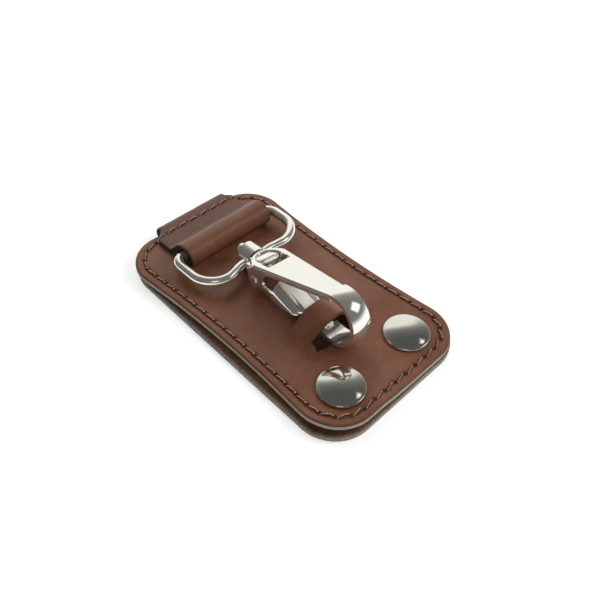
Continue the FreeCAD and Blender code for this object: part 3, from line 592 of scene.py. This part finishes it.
PANEL_RINGS = (0.1, 0.22, 0.42, 0.8, 1.3, 1.75, 2.05, 2.28, 2.5, 2.72, 2.95, 3.3, 3.9, 4.8)
RING_POINTS, SEAM_POINTS, SEAM_BAND = 520, 860, 0.78
WINDOW_RINGS, WINDOW_CLEAR = (0.08, 0.17, 0.27, 0.6, 1.0), 1.2
PANEL_GRID, PANEL_GRID_INSET, SOCKET_CLEAR = ((-24, 26), (-44, 42), 0.9), 5.5, 4.0


def window_loop(grow):
    """Loop round the two slots and the keeper between them."""
    x0, x1 = KEEPER_X - KEEPER_HALF - grow, KEEPER_X + KEEPER_HALF + grow
    y0, y1 = WINDOW_LOW - grow, WINDOW_HIGH + grow
    across = np.linspace(x0, x1, round((x1 - x0) / SLOT_PITCH) + 1)
    along = np.linspace(y0, y1, round((y1 - y0) / SLOT_PITCH) + 1)
    sides = ((across, y0), (x1, along), (across[::-1], y1), (x0, along[::-1]))
    return np.vstack([np.column_stack(np.broadcast_arrays(x, y))[:-1] for x, y in sides])


def slot_gap(spots):
    """Distance from the free edges of the two slots; the keeper's ends are no edge."""
    x, y = spots[:, 0] - KEEPER_X, spots[:, 1]
    dx = np.maximum(np.abs(x) - KEEPER_HALF, 0)
    low = np.hypot(dx, np.maximum(np.maximum(WINDOW_LOW - y, y - KEEPER_Y), 0))
    high = np.hypot(dx, np.maximum(np.maximum(KEEPER_Y + KEEPER_W - y, y - WINDOW_HIGH), 0))
    return np.minimum(low, high)


def panel_edge(spots):
    return np.minimum(gap_to(spots, RIM), slot_gap(spots))


def lift(x):
    """Height of the leather over the hook's nose at a distance x from the keeper's middle."""
    return LIFT_RISE * ease(1 - (np.abs(x) - LIFT_FLAT) / LIFT_RUN)


def hump(spots):
    """The panel bulges where the keeper grows out of it."""
    x, y = np.abs(spots[:, 0] - KEEPER_X), spots[:, 1]
    inner = bell(np.maximum(KEEPER_HALF - x, 0), HUMP_INNER)
    low = bell(np.maximum(KEEPER_Y - y, 0), HUMP_LOW)
    high = bell(np.maximum(y - KEEPER_Y - KEEPER_W, 0), HUMP_HIGH)
    return lift(np.maximum(x, KEEPER_HALF)) * inner * low * high


def corner_lift(spots):
    """The leather stands up a little round the left cap, at the corner of the foot."""
    away = spots - np.array(STUDS[0])
    reach = np.hypot(away[:, 0], away[:, 1])
    turn = np.degrees(np.arctan2(away[:, 1], away[:, 0])) % 360
    aside = np.maximum(np.abs(turn - CURL_TURN) - CURL_SPREAD, 0)
    fade = bell(aside, CURL_FADE) * bell(np.maximum(reach - CURL_REACH, 0), CURL_END)
    return CURL_RISE * ease((reach - CURL_FROM) / CURL_RUN) * fade


def panel_top(spots):
    rim, slots = gap_to(spots, RIM), slot_gap(spots)
    z = FACE_Z + hump(spots) + corner_lift(spots)
    z -= rounded_drop(rim, RIM_ROUND) + rounded_drop(slots, SLOT_ROUND)
    z -= GROOVE_DEPTH * bell(gap_to(spots, SEAM), GROOVE_HALF)
    z -= AWL_DEPTH * bell(gap_to(spots, HOLES), AWL_HALF)
    x, y = spots[:, 0], spots[:, 1]
    under_strap = (x > STRAP_LEFT) & (x < STRAP_RIGHT) & (y > TOP_Y - STRAP_COVER)
    calm = np.clip(slots / CALM_SLOT, 0, 1) * np.clip(rim / CALM_RIM, CALM_SHARE, 1)
    waves = ripples(spots, PANEL_WAVES)
    return z + np.where(under_strap, -np.abs(waves), waves * calm)


def panel_foot(spots):
    return BACK_Z + hump(spots) + corner_lift(spots) + rounded_drop(panel_edge(spots), BACK_ROUND)


def panel_points():
    """Points of the panel's mesh: rings along the rim, a grid, and rings round the window."""
    near_seam = [abs(inset - SEAM_INSET) < SEAM_BAND for inset in PANEL_RINGS]
    extra = [panel_outline(inset, SEAM_POINTS if near else RING_POINTS)
             for inset, near in zip(PANEL_RINGS, near_seam)]
    inner = grid(*PANEL_GRID)
    inner = inner[inside(inner, panel_outline(PANEL_GRID_INSET, GRID_LOOP_POINTS))]
    inner = off_studs(inner[~inside(inner, window_loop(WINDOW_CLEAR))], SOCKET_CLEAR)
    return np.vstack(extra + [inner] + [window_loop(grow) for grow in WINDOW_RINGS])


def make_panel():
    holes = [circle(spot, SOCKET_HOLE_R, SOCKET_HOLE_POINTS) for spot in STUDS]
    loops = [RIM[::RIM_SKIP], window_loop(0.0)] + holes
    panel = slab("panel_leather", loops, panel_points(), panel_top, panel_foot, [GRAIN, EDGE, FLESH],
                 {"edge_mm": panel_edge, "seam": seam_shade}, PANEL_FUZZ)
    dress(panel, "front", "leather", "front_panel")


make_panel()

# Keeper: the bridge of leather between the slots, skived thin and trimmed on the side of the foot
KEEPER_T, KEEPER_TRIM, KEEPER_STEPS, KEEPER_LINES, SLOPE_STEP = 1.2, 1.2, 61, 28, 0.01


def keeper_path():
    middle = KEEPER_Y + (KEEPER_W + KEEPER_TRIM) / 2
    path = []
    for x in np.linspace(-KEEPER_HALF, KEEPER_HALF, KEEPER_STEPS):
        slope = (lift(x + SLOPE_STEP) - lift(x - SLOPE_STEP)) / (2 * SLOPE_STEP)
        size = math.hypot(slope, 1)
        path.append(((KEEPER_X + x, middle, FACE_Z + lift(x)), (-slope / size, 0, 1 / size)))
    return path


def make_keeper():
    halves = [(KEEPER_W - KEEPER_TRIM) / 2] * KEEPER_STEPS
    keeper = strip("keeper_leather", keeper_path(), Vector((0, 1, 0)), halves, KEEPER_T,
                   [GRAIN, KEEPER_EDGE, FLESH], KEEPER_LINES)
    dress(keeper, "front", "leather", "hook_keeper")
    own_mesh(keeper)


make_keeper()

# Ring strap: flat under the seam, lifted over the ring bar, rolled round and tucked back
FLAT_END, RISE_TURN, HEEL_R, CREST_R, ROLL_HEIGHT = -7.2, math.radians(50), 2.8, 4.8, 6.8
CREST_FLAT, TUCK = 0.4, 3.3
FLAT_STEPS, HEEL_STEPS, CREST_STEPS, ROLL_STEPS, TUCK_STEPS, STRAP_LINES = 28, 14, 20, 26, 8, 90
DARKEN_END, DARKEN_RUN, DARKEN_SHARE = 11.5, 3.5, 0.4


def arc(y, z, radius, turns):
    """Places (y, z) with their normals round a centre; a hollow arc has a negative radius."""
    return [(y + radius * math.sin(a), z + radius * math.cos(a), math.sin(a), math.cos(a)) for a in turns]


def strap_profile():
    """Places (y, z) with their normals along the strap, from the head of the panel and its face."""
    turns = (HEEL_R + CREST_R) * (1 - math.cos(RISE_TURN))
    slope = (ROLL_HEIGHT - FLAP_T - turns) / math.sin(RISE_TURN)
    crest = FLAT_END - (HEEL_R + CREST_R) * math.sin(RISE_TURN) - slope * math.cos(RISE_TURN)
    roll, bend = crest - CREST_FLAT, ROLL_HEIGHT / 2
    profile = [(y, FLAP_T, 0.0, 1.0) for y in np.linspace(0, FLAT_END, FLAT_STEPS)]
    profile += arc(FLAT_END, FLAP_T + HEEL_R, -HEEL_R, np.linspace(0, RISE_TURN, HEEL_STEPS)[1:])
    profile += arc(crest, ROLL_HEIGHT - CREST_R, CREST_R, np.linspace(RISE_TURN, 0, CREST_STEPS))
    profile += arc(roll, bend, bend, np.linspace(0, -math.pi, ROLL_STEPS))
    tucked = np.linspace(roll, FLAT_END - TUCK, TUCK_STEPS)[1:]
    return profile + [(y, 0.0, 0.0, -1.0) for y in tucked]


def strap_path():
    """Path of the strap, and its half widths, with the corners at its head clipped."""
    path, halves = [], []
    for y, z, ny, nz in strap_profile():
        left = STRAP_LEFT + max(0.0, CLIP_LEFT + y)
        right = STRAP_RIGHT - max(0.0, CLIP_RIGHT + y)
        path.append((((left + right) / 2, TOP_Y + y, FACE_Z + z), (0, ny, nz)))
        halves.append((right - left) / 2)
    return path, halves


def strap_flat_darkening(points):
    """The flat of the strap, and the neck, are coloured darker and duller than its roll."""
    return np.clip((points[:, 1] - TOP_Y + DARKEN_END) / DARKEN_RUN, DARKEN_SHARE, 1)


def make_strap():
    path, halves = strap_path()
    shades = {"flat_darkening": strap_flat_darkening, "seam": lambda points: seam_shade(points[:, :2])}
    strap = strip("strap_leather", path, Vector((1, 0, 0)), halves, FLAP_T, [GRAIN, STRAP_EDGE, FLESH],
                  STRAP_LINES, cap_end=True, more=shades)
    dress(strap, "front", "leather", "ring_strap")


make_strap()

# Neck: the fold over the head of the panel
NECK_STEPS, NECK_LINES = 40, 40


def neck_path():
    radius, middle = (FACE_Z + FLAP_T) / 2, (NECK_LEFT + NECK_RIGHT) / 2
    fold = arc(TOP_Y, radius, radius, np.linspace(0, math.pi, NECK_STEPS))
    return [((middle, y, z), (0, ny, nz)) for y, z, ny, nz in fold]


def make_neck():
    halves = [(NECK_RIGHT - NECK_LEFT) / 2] * NECK_STEPS
    neck = strip("neck_leather", neck_path(), Vector((1, 0, 0)), halves, FLAP_T, [GRAIN, STRAP_EDGE, FLESH],
                 NECK_LINES, more={"flat_darkening": strap_flat_darkening})
    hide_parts("flap_neck")
    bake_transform(neck)


make_neck()

# Belt flap: flesh side up, closed up to the panel along its right edge at the foot
FLAP_RINGS, FLAP_RING_POINTS = (0.1, 0.2, 0.35, 0.7, 1.2, 1.9, 2.8), 520
FLAP_RIM_POINTS, FLAP_LINE_POINTS, STUD_HOLE_POINTS = 640, 3000, 24
TAB_ROWS, TAB_RIM_POINTS, TAB_COLUMNS = 4, 40, 60
FLAP_GRID, FLAP_GRID_INSET, STUD_CLEAR = ((-24, 25), (-44, 41), 1.0), 3.5, 1.8
TAB_MARGIN, TAB_BAND, TAB_STEP, TAB_INSET, TAB_END, TAB_OPEN = 0.2, 1.0, 0.1, 0.3, 0.2, 0.01
FLAP_WAVES = ((9.1, 0.08, 0.14), (3.3, 0.5, 0.05))
FLAP_TOP_ROUND, FLAP_FOOT_ROUND, FLAP_FUZZ = 0.2, 0.35, 0.12
CLOSE_RISE, CLOSE_HALF, CLOSE_X, CLOSE_X_RUN, CLOSE_Y, CLOSE_Y_RUN = 0.42, 1.4, -4.0, 12.0, 17.0, 10.0


def flap_outline(inset, count):
    return outline(FLAP_W - 2 * inset, FLAP_HEAD - FLAP_FOOT - 2 * inset, FLAP_CORNER - inset, 0,
                   (0, (FLAP_HEAD + FLAP_FOOT) / 2), count, FLAP_TAPER)


def flap_loop():
    """The flap's outline with the tab that runs on into the neck."""
    low, high = NECK_LEFT, NECK_RIGHT
    kept = [p for p in flap_outline(0.0, FLAP_RIM_POINTS)
            if not (p[1] > FLAP_HEAD - TAB_BAND and low - TAB_MARGIN < p[0] < high + TAB_MARGIN)]
    start = min(k for k, p in enumerate(kept) if p[0] < low and p[1] > 0)
    tab = [(high, y) for y in np.linspace(FLAP_HEAD - TAB_STEP, TOP_Y, TAB_ROWS)]
    tab += [(x, TOP_Y) for x in np.linspace(high, low, TAB_RIM_POINTS)[1:-1]]
    tab += [(low, y) for y in np.linspace(TOP_Y, FLAP_HEAD, TAB_ROWS)]
    return np.array(kept[:start] + tab + kept[start:])


FLAP_RIM = flap_loop()
FLAP_LINE = resample(np.vstack([FLAP_RIM, FLAP_RIM[:1]]), FLAP_LINE_POINTS)
FLAP_FREE = FLAP_LINE[FLAP_LINE[:, 1] < TOP_Y - TAB_OPEN]


def flap_edge(spots):
    return gap_to(spots, FLAP_FREE)


def flap_top(spots):
    edge = flap_edge(spots)
    right = np.clip((spots[:, 0] - CLOSE_X) / CLOSE_X_RUN, 0, 1)
    closed = right * np.clip((FOOT_Y + CLOSE_Y - spots[:, 1]) / CLOSE_Y_RUN, 0, 1)
    z = FLAP_T + CLOSE_RISE * closed * bell(edge, CLOSE_HALF)
    return z - rounded_drop(edge, FLAP_TOP_ROUND) - np.abs(ripples(spots, FLAP_WAVES))


def flap_foot(spots):
    return rounded_drop(flap_edge(spots), FLAP_FOOT_ROUND)


def flap_points():
    """Points of the flap's mesh: rings along the rim, a grid, and rows in the tab."""
    extra = [flap_outline(inset, FLAP_RING_POINTS) for inset in FLAP_RINGS]
    inner = grid(*FLAP_GRID)
    inner = off_studs(inner[inside(inner, flap_outline(FLAP_GRID_INSET, GRID_LOOP_POINTS))], STUD_CLEAR)
    xs, ys = np.meshgrid(np.linspace(NECK_LEFT + TAB_INSET, NECK_RIGHT - TAB_INSET, TAB_COLUMNS),
                         np.linspace(FLAP_HEAD + TAB_STEP, TOP_Y - TAB_END, TAB_ROWS))
    return np.vstack(extra + [inner, np.column_stack([xs.ravel(), ys.ravel()])])


def make_flap():
    loops = [FLAP_RIM] + [circle(spot, STUD_HOLE_R, STUD_HOLE_POINTS) for spot in STUDS]
    flap = slab("flap_leather", loops, flap_points(), flap_top, flap_foot, [FLESH, FLAP_EDGE, GRAIN],
                {"edge_mm": flap_edge}, FLAP_FUZZ)
    dress(flap, "flap", "leather", "back_flap")


make_flap()

# Stitches: two twisted plies each, ends sunk into the awl holes
STITCH_R, BACK_STITCH_R, TWIST_TURNS, PLY_STEPS, PLY_SIDES = 0.3, 0.23, 2.4, 40, 7
RUN_SHARE, RISE_SHARE, CORE_SHARE, PLY_SHARE = 0.8, 0.9, 0.5, 0.54
DIVE, DIVE_POWER, STITCH_SINK, STEP_RISE = 0.75, 5, 0.02, 0.6
SLANT, FOOT_SLANT, BACK_SLANT, SLANT_FROM, SLANT_RUN = -0.4, -0.7, -0.3, 13.0, 8.0


def stitch(points, faces, crest, ends, face, slant, radius, extra_rise=0.0):
    """One stitch between two places; face is 1 on the front and -1 on the back."""
    a, b = (Vector(end) for end in ends)
    way = (b - a).normalized()
    side = Vector((way.y, -way.x, 0)).normalized()
    up = Vector((0, 0, face))
    for ply in (0, 1):
        first = len(points)
        for step in range(PLY_STEPS + 1):
            t = step / PLY_STEPS
            middle = a.lerp(b, (1 - RUN_SHARE) / 2 + RUN_SHARE * t) + side * slant * (t - 0.5)
            rise = radius * RISE_SHARE - DIVE * abs(2 * t - 1) ** DIVE_POWER
            middle.z += (rise + extra_rise * math.sin(math.pi * t) ** 2) * face
            twist = 2 * math.pi * (TWIST_TURNS * t + ply / 2)
            core = middle + (side * math.cos(twist) + up * math.sin(twist)) * radius * CORE_SHARE
            for k in range(PLY_SIDES):
                q = 2 * math.pi * k / PLY_SIDES
                spot = core + (side * math.cos(q) + up * math.sin(q)) * radius * PLY_SHARE
                points.append(tuple(spot))
                # Crest: how high a point stands over the stitch's middle, outward from the leather; the
                # thread's painted shade reads it.
                crest.append((spot - middle).z * face / radius)
        faces += tube(rows_from(first, PLY_SIDES, PLY_STEPS + 1))


def make_stitches():
    points, faces, crest = [], [], []
    for k in range(STITCHES):
        spots = np.array([HOLES[k], HOLES[(k + 1) % STITCHES]])
        curls = corner_lift(spots)
        steps = [FLAP_T if on_strap(spot) else 0.0 for spot in spots]
        front = [(*spot, FACE_Z - STITCH_SINK + step + curl)
                 for spot, step, curl in zip(spots, steps, curls)]
        back = [(*spot, BACK_Z + curl) for spot, curl in zip(spots, curls)]
        slant = SLANT + FOOT_SLANT * ease((FOOT_Y + SLANT_FROM - spots[0][1]) / SLANT_RUN)
        stitch(points, faces, crest, front, 1, slant, STITCH_R, STEP_RISE if steps[0] != steps[1] else 0.0)
        stitch(points, faces, crest, back, -1, BACK_SLANT, BACK_STITCH_R)
    thread = add_mesh("border_stitches", points, faces, [THREAD], None, {"crest": crest})
    dress(thread, "front", "thread", "border_thread")


make_stitches()

# Gate: a pressed channel with broad round shoulders, a flat web with a painted reflection, and two arms to
# the pin
GATE_START, GATE_END, GATE_SHEET, GATE_HALF, GATE_FOOT = 27.0, 44.75, 0.8, 5.0, -3.85
GATE_TOP, GATE_TOP_AT, GATE_SLOPE = -0.47, 31.2, 0.3
DRAWN_IN, DRAWN_AT, DRAWN_RUN = 3.1, 35.0, 5.0
NOSE_AT, NOSE_SLOPE, NOSE_DEEP, NOSE_ROUND = 38.0, 0.15, 1.7, 1.2
WEB_HALF, SHOULDER_LEAST, SHOULDER_POINTS, WEB_POINTS = 1.9, 0.5, 13, 6
COARSE_END, FINE_START, COARSE_STEPS, FINE_STEPS = 42.5, 42.8, 40, 12
NICKEL_SLOT, WEB_SHINE_SLOT = 0, 1
LUG_AT, LUG_Z, LUG_R, LUG_TURN, LUG_POINTS = 20.45, -1.3, 1.7, (0.2, math.pi * 1.45), 24
ARM_SIDES, ARM_FOOT, ARM_TOP, ARM_END = (3.45, 4.25), -3.8, -2.7, 28.2
ARM_OUTLINE = [(22.3, ARM_FOOT), (ARM_END, ARM_FOOT), (ARM_END, ARM_TOP), (24.0, ARM_TOP), (22.9, -2.3)]


def gate_section(distance, inset):
    """Points across the gate from foot to foot, outside or inset by the sheet."""
    narrow = ease((distance - DRAWN_AT) / DRAWN_RUN)
    nose = min(max(0.0, distance - GATE_END + NOSE_ROUND) / NOSE_ROUND, 1)
    wide = GATE_HALF - DRAWN_IN * narrow - NOSE_ROUND * (1 - math.sqrt(1 - nose ** 2)) - inset
    top = GATE_TOP - GATE_SLOPE * (min(distance, NOSE_AT) - GATE_TOP_AT)
    top -= NOSE_SLOPE * max(0.0, distance - NOSE_AT)
    foot = GATE_FOOT * (1 - narrow) + (top - NOSE_DEEP) * narrow
    flat = min(WEB_HALF, wide - SHOULDER_LEAST)
    top -= inset
    turn = np.linspace(0, math.pi / 2, SHOULDER_POINTS)
    left = [(-flat - (wide - flat) * math.cos(a), foot + (top - foot) * math.sin(a)) for a in turn]
    web = [(x, top) for x in np.linspace(-flat, flat, WEB_POINTS)[1:-1]]
    right = [(-x, z) for x, z in left[::-1]]
    return [on_hook(x, distance, z) for x, z in left + web + right]


def gate_channel():
    points, faces, slots = [], [], []
    distances = np.r_[np.linspace(GATE_START, COARSE_END, COARSE_STEPS),
                      np.linspace(FINE_START, GATE_END, FINE_STEPS)]
    for distance in distances:
        points += gate_section(distance, 0.0) + gate_section(distance, GATE_SHEET)[::-1]
    ring = len(points) // len(distances)
    half = ring // 2
    web = range(SHOULDER_POINTS - 1, half - SHOULDER_POINTS)
    rows = rows_from(0, ring, len(distances))
    for a, b in zip(rows, rows[1:]):
        faces += band(a, b)
        # The web's faces take the painted reflection; the shoulders are nickel.
        slots += [WEB_SHINE_SLOT if k in web else NICKEL_SLOT for k in range(ring)]
    for row in (rows[0], rows[-1]):
        faces += [(row[k], row[k + 1], row[-2 - k], row[-1 - k]) for k in range(half - 1)]
        slots += [NICKEL_SLOT] * (half - 1)
    return points, faces, slots


def gate_arm(side, points, faces, slots):
    """Flat arm from the pin's lug to the channel, inside the ear."""
    turn = np.linspace(*LUG_TURN, LUG_POINTS)
    loop = [(LUG_AT + LUG_R * math.cos(a), LUG_Z + LUG_R * math.sin(a)) for a in turn] + ARM_OUTLINE
    first = len(points)
    for x in ARM_SIDES:
        points += [on_hook(side * x, distance, z) for distance, z in loop]
    arm = tube(rows_from(first, len(loop), len(ARM_SIDES)))
    faces += arm
    slots += [NICKEL_SLOT] * len(arm)


def make_gate():
    points, faces, slots = gate_channel()
    for side in (-1, 1):
        gate_arm(side, points, faces, slots)
    gate = add_mesh("gate_metal", points, faces, [NICKEL, WEB_SHINE], slots)
    dress(gate, "gate", "nickel", "gate_lever")


make_gate()

# Swivel post: head, shank, the square end that fills the head of the plate's window, and its stub
POST_SIDES = 40
POST_PROFILE = [(1.5, 8.4), (1.85, 8.55), (2.05, 8.9), (2.1, 10.4), (1.95, 10.75), (1.65, 10.76),
                (1.65, 17.3)]
STUB_PROFILE = [(0.9, 20.5), (1.1, 20.9), (1.1, 22.0), (0.8, 22.3)]
BLOCK_ROWS = [(17.2, 0.9), (17.45, 1.0), (20.6, 1.0), (20.9, 0.9)]
BLOCK_HALF, BLOCK_FOOT, BLOCK_MIDDLE, BLOCK_CROWN, BLOCK_POINTS = 3.4, -1.6, 0.6, 0.3, 10
PLATE_Z, PLATE_AT, PLATE_SLOPE = 3.0, 15.75, 0.184


def turned(points, faces, profile):
    """Turned form along the hook from (radius, distance) points."""
    first = len(points)
    for radius, distance in profile:
        for k in range(POST_SIDES):
            a = 2 * math.pi * k / POST_SIDES
            points.append(on_hook(radius * math.cos(a), distance, radius * math.sin(a)))
    faces += tube(rows_from(first, POST_SIDES, len(profile)))


def post_end(points, faces):
    """Rounded block under the plate's window, sloped like the plate."""
    first = len(points)
    across = np.linspace(-1, 1, BLOCK_POINTS)
    for distance, grow in BLOCK_ROWS:
        top = PLATE_Z + PLATE_SLOPE * (distance - PLATE_AT)
        section = [(BLOCK_HALF * u, top - BLOCK_CROWN * u ** 4) for u in across]
        for x, z in [(-BLOCK_HALF, BLOCK_FOOT)] + section + [(BLOCK_HALF, BLOCK_FOOT)]:
            points.append(on_hook(x * grow, distance, BLOCK_MIDDLE + (z - BLOCK_MIDDLE) * grow))
    faces += tube(rows_from(first, BLOCK_POINTS + 2, len(BLOCK_ROWS)))


def make_post():
    points, faces = [], []
    turned(points, faces, POST_PROFILE)
    post_end(points, faces)
    turned(points, faces, STUB_PROFILE)
    post = add_mesh("post_metal", points, faces, [NICKEL])
    dress(post, "hook", "nickel", "swivel_post")


make_post()

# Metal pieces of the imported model, smoothed, with their sharp edges kept
JOIN_GAP, FLAT_ANGLE, CREASE_ANGLE = 1e-6, math.radians(0.4), math.radians(28)
METAL_BEVEL = 0.12


def smooth_copy(name, made, body, slot, bevel):
    mesh = nodes[name].data.copy()
    shell = bmesh.new()
    shell.from_mesh(mesh)
    bmesh.ops.remove_doubles(shell, verts=shell.verts, dist=JOIN_GAP)
    bmesh.ops.recalc_face_normals(shell, faces=shell.faces)
    bmesh.ops.dissolve_limit(shell, angle_limit=FLAT_ANGLE, verts=shell.verts, edges=shell.edges)
    shell.to_mesh(mesh)
    shell.free()
    mesh.materials.clear()
    mesh.materials.append(made)
    mesh.polygons.foreach_set("use_smooth", [True] * len(mesh.polygons))
    mesh.set_sharp_from_angle(angle=CREASE_ANGLE)
    copy = bpy.data.objects.new(name + "_metal", mesh)
    bpy.context.scene.collection.objects.link(copy)
    if bevel:
        edges = copy.modifiers.new("rounded_edges", "BEVEL")
        edges.width = bevel * MM
        edges.segments = 2
        edges.limit_method = "ANGLE"
        edges.angle_limit = CREASE_ANGLE
    even = copy.modifiers.new("even_normals", "WEIGHTED_NORMAL")
    even.mode = "FACE_AREA"
    even.weight = 100
    even.keep_sharp = True
    return dress(copy, body, slot, name)


# Ring: beside its boss the loop lies nearer the foot of the panel, more so on the left
RING_HALF, BAR_CLEAR, BOSS_AT, BOSS_HALF, BOSS_BAND = 17.8, 6.0, 13.2, 3.2, 1.6
SLIDE, SLIDE_TILT, SLIDE_FROM, SLIDE_RUN, SLIDE_SHARE = 1.1, 0.58, 5.2, 4.5, 0.1
LEFT_IN, LEFT_SLIDE, LEFT_FROM, LEFT_RUN = 1.2, 0.5, 3.5, 12.0


def ring_lie(copy):
    """The loop lies a little slid and turned in its strap; the bar and the boss stay in place."""
    for vertex in copy.data.vertices:
        x, y = vertex.co.x / MM - RING_BAR.x, RING_BAR.y - vertex.co.y / MM
        reach = np.clip(y / BAR_CLEAR, 0, 1)
        clear = np.clip((abs(x) - SLIDE_FROM) / SLIDE_RUN, 0, 1)
        aside = np.clip((-x - LEFT_FROM) / LEFT_RUN, 0, 1)
        slide = (SLIDE - SLIDE_TILT * x / RING_HALF) * (SLIDE_SHARE + (1 - SLIDE_SHARE) * clear)
        if abs(x) > BOSS_HALF or abs(y - BOSS_AT) < BOSS_BAND:
            vertex.co.y -= slide * ease(reach) * MM
        vertex.co.x += LEFT_IN * aside * MM
        vertex.co.y -= LEFT_SLIDE * aside * reach * MM


ring_lie(smooth_copy("swivel_eye", NICKEL, "eye", "nickel", METAL_BEVEL))
for name in ("hook_body", "gate_pin"):
    smooth_copy(name, NICKEL, "hook", "nickel", METAL_BEVEL)
for name, body, made in (("snap_cap", "front", CAP_NICKEL), ("snap_socket", "front", CAP_NICKEL),
                         ("snap_stud", "flap", CAP_NICKEL), ("stud_eyelet", "flap", NICKEL)):
    for side in ("_left", "_right"):
        smooth_copy(name + side, made, body, "nickel", METAL_BEVEL)
smooth_copy("gate_spring", STEEL, "hook", "spring_wire", 0)
for side in ("_left", "_right"):
    smooth_copy("socket_spring" + side, STEEL, "front", "spring_wire", 0)

# Floor, in metres: its glow grows with the distance, so that it meets the white surroundings
FLOOR_REACH, FLOOR_Z, FLOOR_GREY = 1.5, -2e-5, 0.5
GLOW_FROM, GLOW_TO, GLOW_NEAR, GLOW_FAR = 0.2, 0.9, 0.58, 0.86


def make_floor():
    mesh = bpy.data.meshes.new("floor")
    corners = ((-1, -1), (1, -1), (1, 1), (-1, 1))
    mesh.from_pydata([(x * FLOOR_REACH, y * FLOOR_REACH, FLOOR_Z) for x, y in corners], [], [(0, 1, 2, 3)])
    floor = bpy.data.objects.new("floor", mesh)
    bpy.context.scene.collection.objects.link(floor)
    made = bpy.data.materials.new("floor_white")
    made.use_nodes = True
    tree = made.node_tree
    tree.nodes.clear()
    matt = node(tree, "ShaderNodeBsdfDiffuse", {"Color": (FLOOR_GREY, FLOOR_GREY, FLOOR_GREY, 1)}).outputs[0]
    rays = node(tree, "ShaderNodeLightPath").outputs
    seen = calc(tree, "MAXIMUM", rays["Is Camera Ray"], rays["Is Glossy Ray"])
    seen = calc(tree, "MAXIMUM", seen, rays["Is Transmission Ray"])
    place = node(tree, "ShaderNodeTexCoord").outputs["Object"]
    far = node(tree, "ShaderNodeVectorMath", {0: place}, operation="LENGTH").outputs["Value"]
    shine = calc(tree, "MULTIPLY", seen, span(tree, far, GLOW_FROM, GLOW_TO, GLOW_NEAR, GLOW_FAR))
    glow = node(tree, "ShaderNodeEmission", {"Color": (1, 1, 1, 1), "Strength": shine}).outputs[0]
    both = node(tree, "ShaderNodeAddShader", {0: matt, 1: glow}).outputs[0]
    node(tree, "ShaderNodeOutputMaterial", {"Surface": both})
    mesh.materials.append(made)


# Surroundings: a backdrop, a glow at table height, and cards of (direction, half side, level)
BACKDROP_AIM = (0.62, 0.74, 0.26)
BACKDROP = ((0.0, 0.1), (0.5, 0.11), (0.66, 0.16), (0.76, 0.22), (0.83, 0.42), (0.87, 0.8), (0.9, 1.0),
            (1.0, 1.02))
TABLE = ((0.0, 0.95), (0.06, 0.9), (0.15, 0.4), (0.28, 0.12), (1.0, 0.08))
CARDS = (
    ((-0.80, 0.40, 0.20), 0.6, 0.1),
    ((0.565, -0.52, 0.64), 0.26, 1.4),
    ((-0.50, -0.46, 0.73), 0.2, 1.2),
)
CARD_BORDER, CARD_FRONT = 0.09, (0.5, 0.51)
GREY_TINT = (1.0, 0.995, 0.97)


def grey(level):
    return tuple(level * tint for tint in GREY_TINT) + (1,)


def make_world():
    world = bpy.data.worlds.new("studio")
    bpy.context.scene.world = world
    world.use_nodes = True
    tree = world.node_tree
    tree.nodes.clear()
    way = node(tree, "ShaderNodeTexCoord").outputs["Generated"]
    height = node(tree, "ShaderNodeSeparateXYZ", {0: way}).outputs["Z"]

    def towards(aim):
        aim = tuple(Vector(aim).normalized())
        return node(tree, "ShaderNodeVectorMath", {0: way, 1: aim}, operation="DOT_PRODUCT").outputs["Value"]

    def card(aim, half):
        """Square with a soft border towards a direction; half is its half side one metre away."""
        centre = Vector(aim).normalized()
        side = centre.cross(Vector((0, 0, 1))).normalized()
        cover = span(tree, towards(centre), *CARD_FRONT, 0.0, 1.0)
        for axis in (side, side.cross(centre)):
            off = node(tree, "ShaderNodeMath", {0: towards(axis)}, operation="ABSOLUTE").outputs[0]
            cover = calc(tree, "MULTIPLY", cover, span(tree, off, half - CARD_BORDER, half, 1.0, 0.0))
        return cover

    backdrop = ramp(tree, towards(BACKDROP_AIM), [(place, grey(level)) for place, level in BACKDROP])
    table = ramp(tree, height, [(place, grey(level)) for place, level in TABLE])
    colour = mix(tree, 1.0, backdrop, table, "LIGHTEN")
    for aim, half, level in CARDS:
        colour = mix(tree, card(aim, half), colour, grey(level))
    seen = node(tree, "ShaderNodeLightPath").outputs["Is Camera Ray"]
    colour = mix(tree, seen, colour, (1, 1, 1, 1))
    shade = node(tree, "ShaderNodeBackground", {"Color": colour, "Strength": 1.0}).outputs[0]
    node(tree, "ShaderNodeOutputWorld", {"Surface": shade})


# Lamps of (name, place and size in metres, watts), aimed at the clip
LAMPS = (
    ("softbox_right", (0.40, -0.32, 0.42), (0.35, 0.35), 2.6),
    ("softbox_back", (0.1, 0.35, 0.5), (0.5, 0.4), 1.6),
    ("fill_left", (-0.35, -0.3, 0.4), (0.5, 0.5), 0.9),
)


def make_lamp(name, place, size, watts):
    lamp = bpy.data.lights.new(name, "AREA")
    lamp.shape = "RECTANGLE"
    lamp.size, lamp.size_y = size
    lamp.energy = watts
    made = bpy.data.objects.new(name, lamp)
    bpy.context.scene.collection.objects.link(made)
    made.visible_glossy = False
    made.location = place
    made.rotation_euler = (-Vector(place)).to_track_quat("-Z", "Y").to_euler()


make_floor()
make_world()
for settings in LAMPS:
    make_lamp(*settings)
bpy.context.scene.view_settings.view_transform = "Standard"
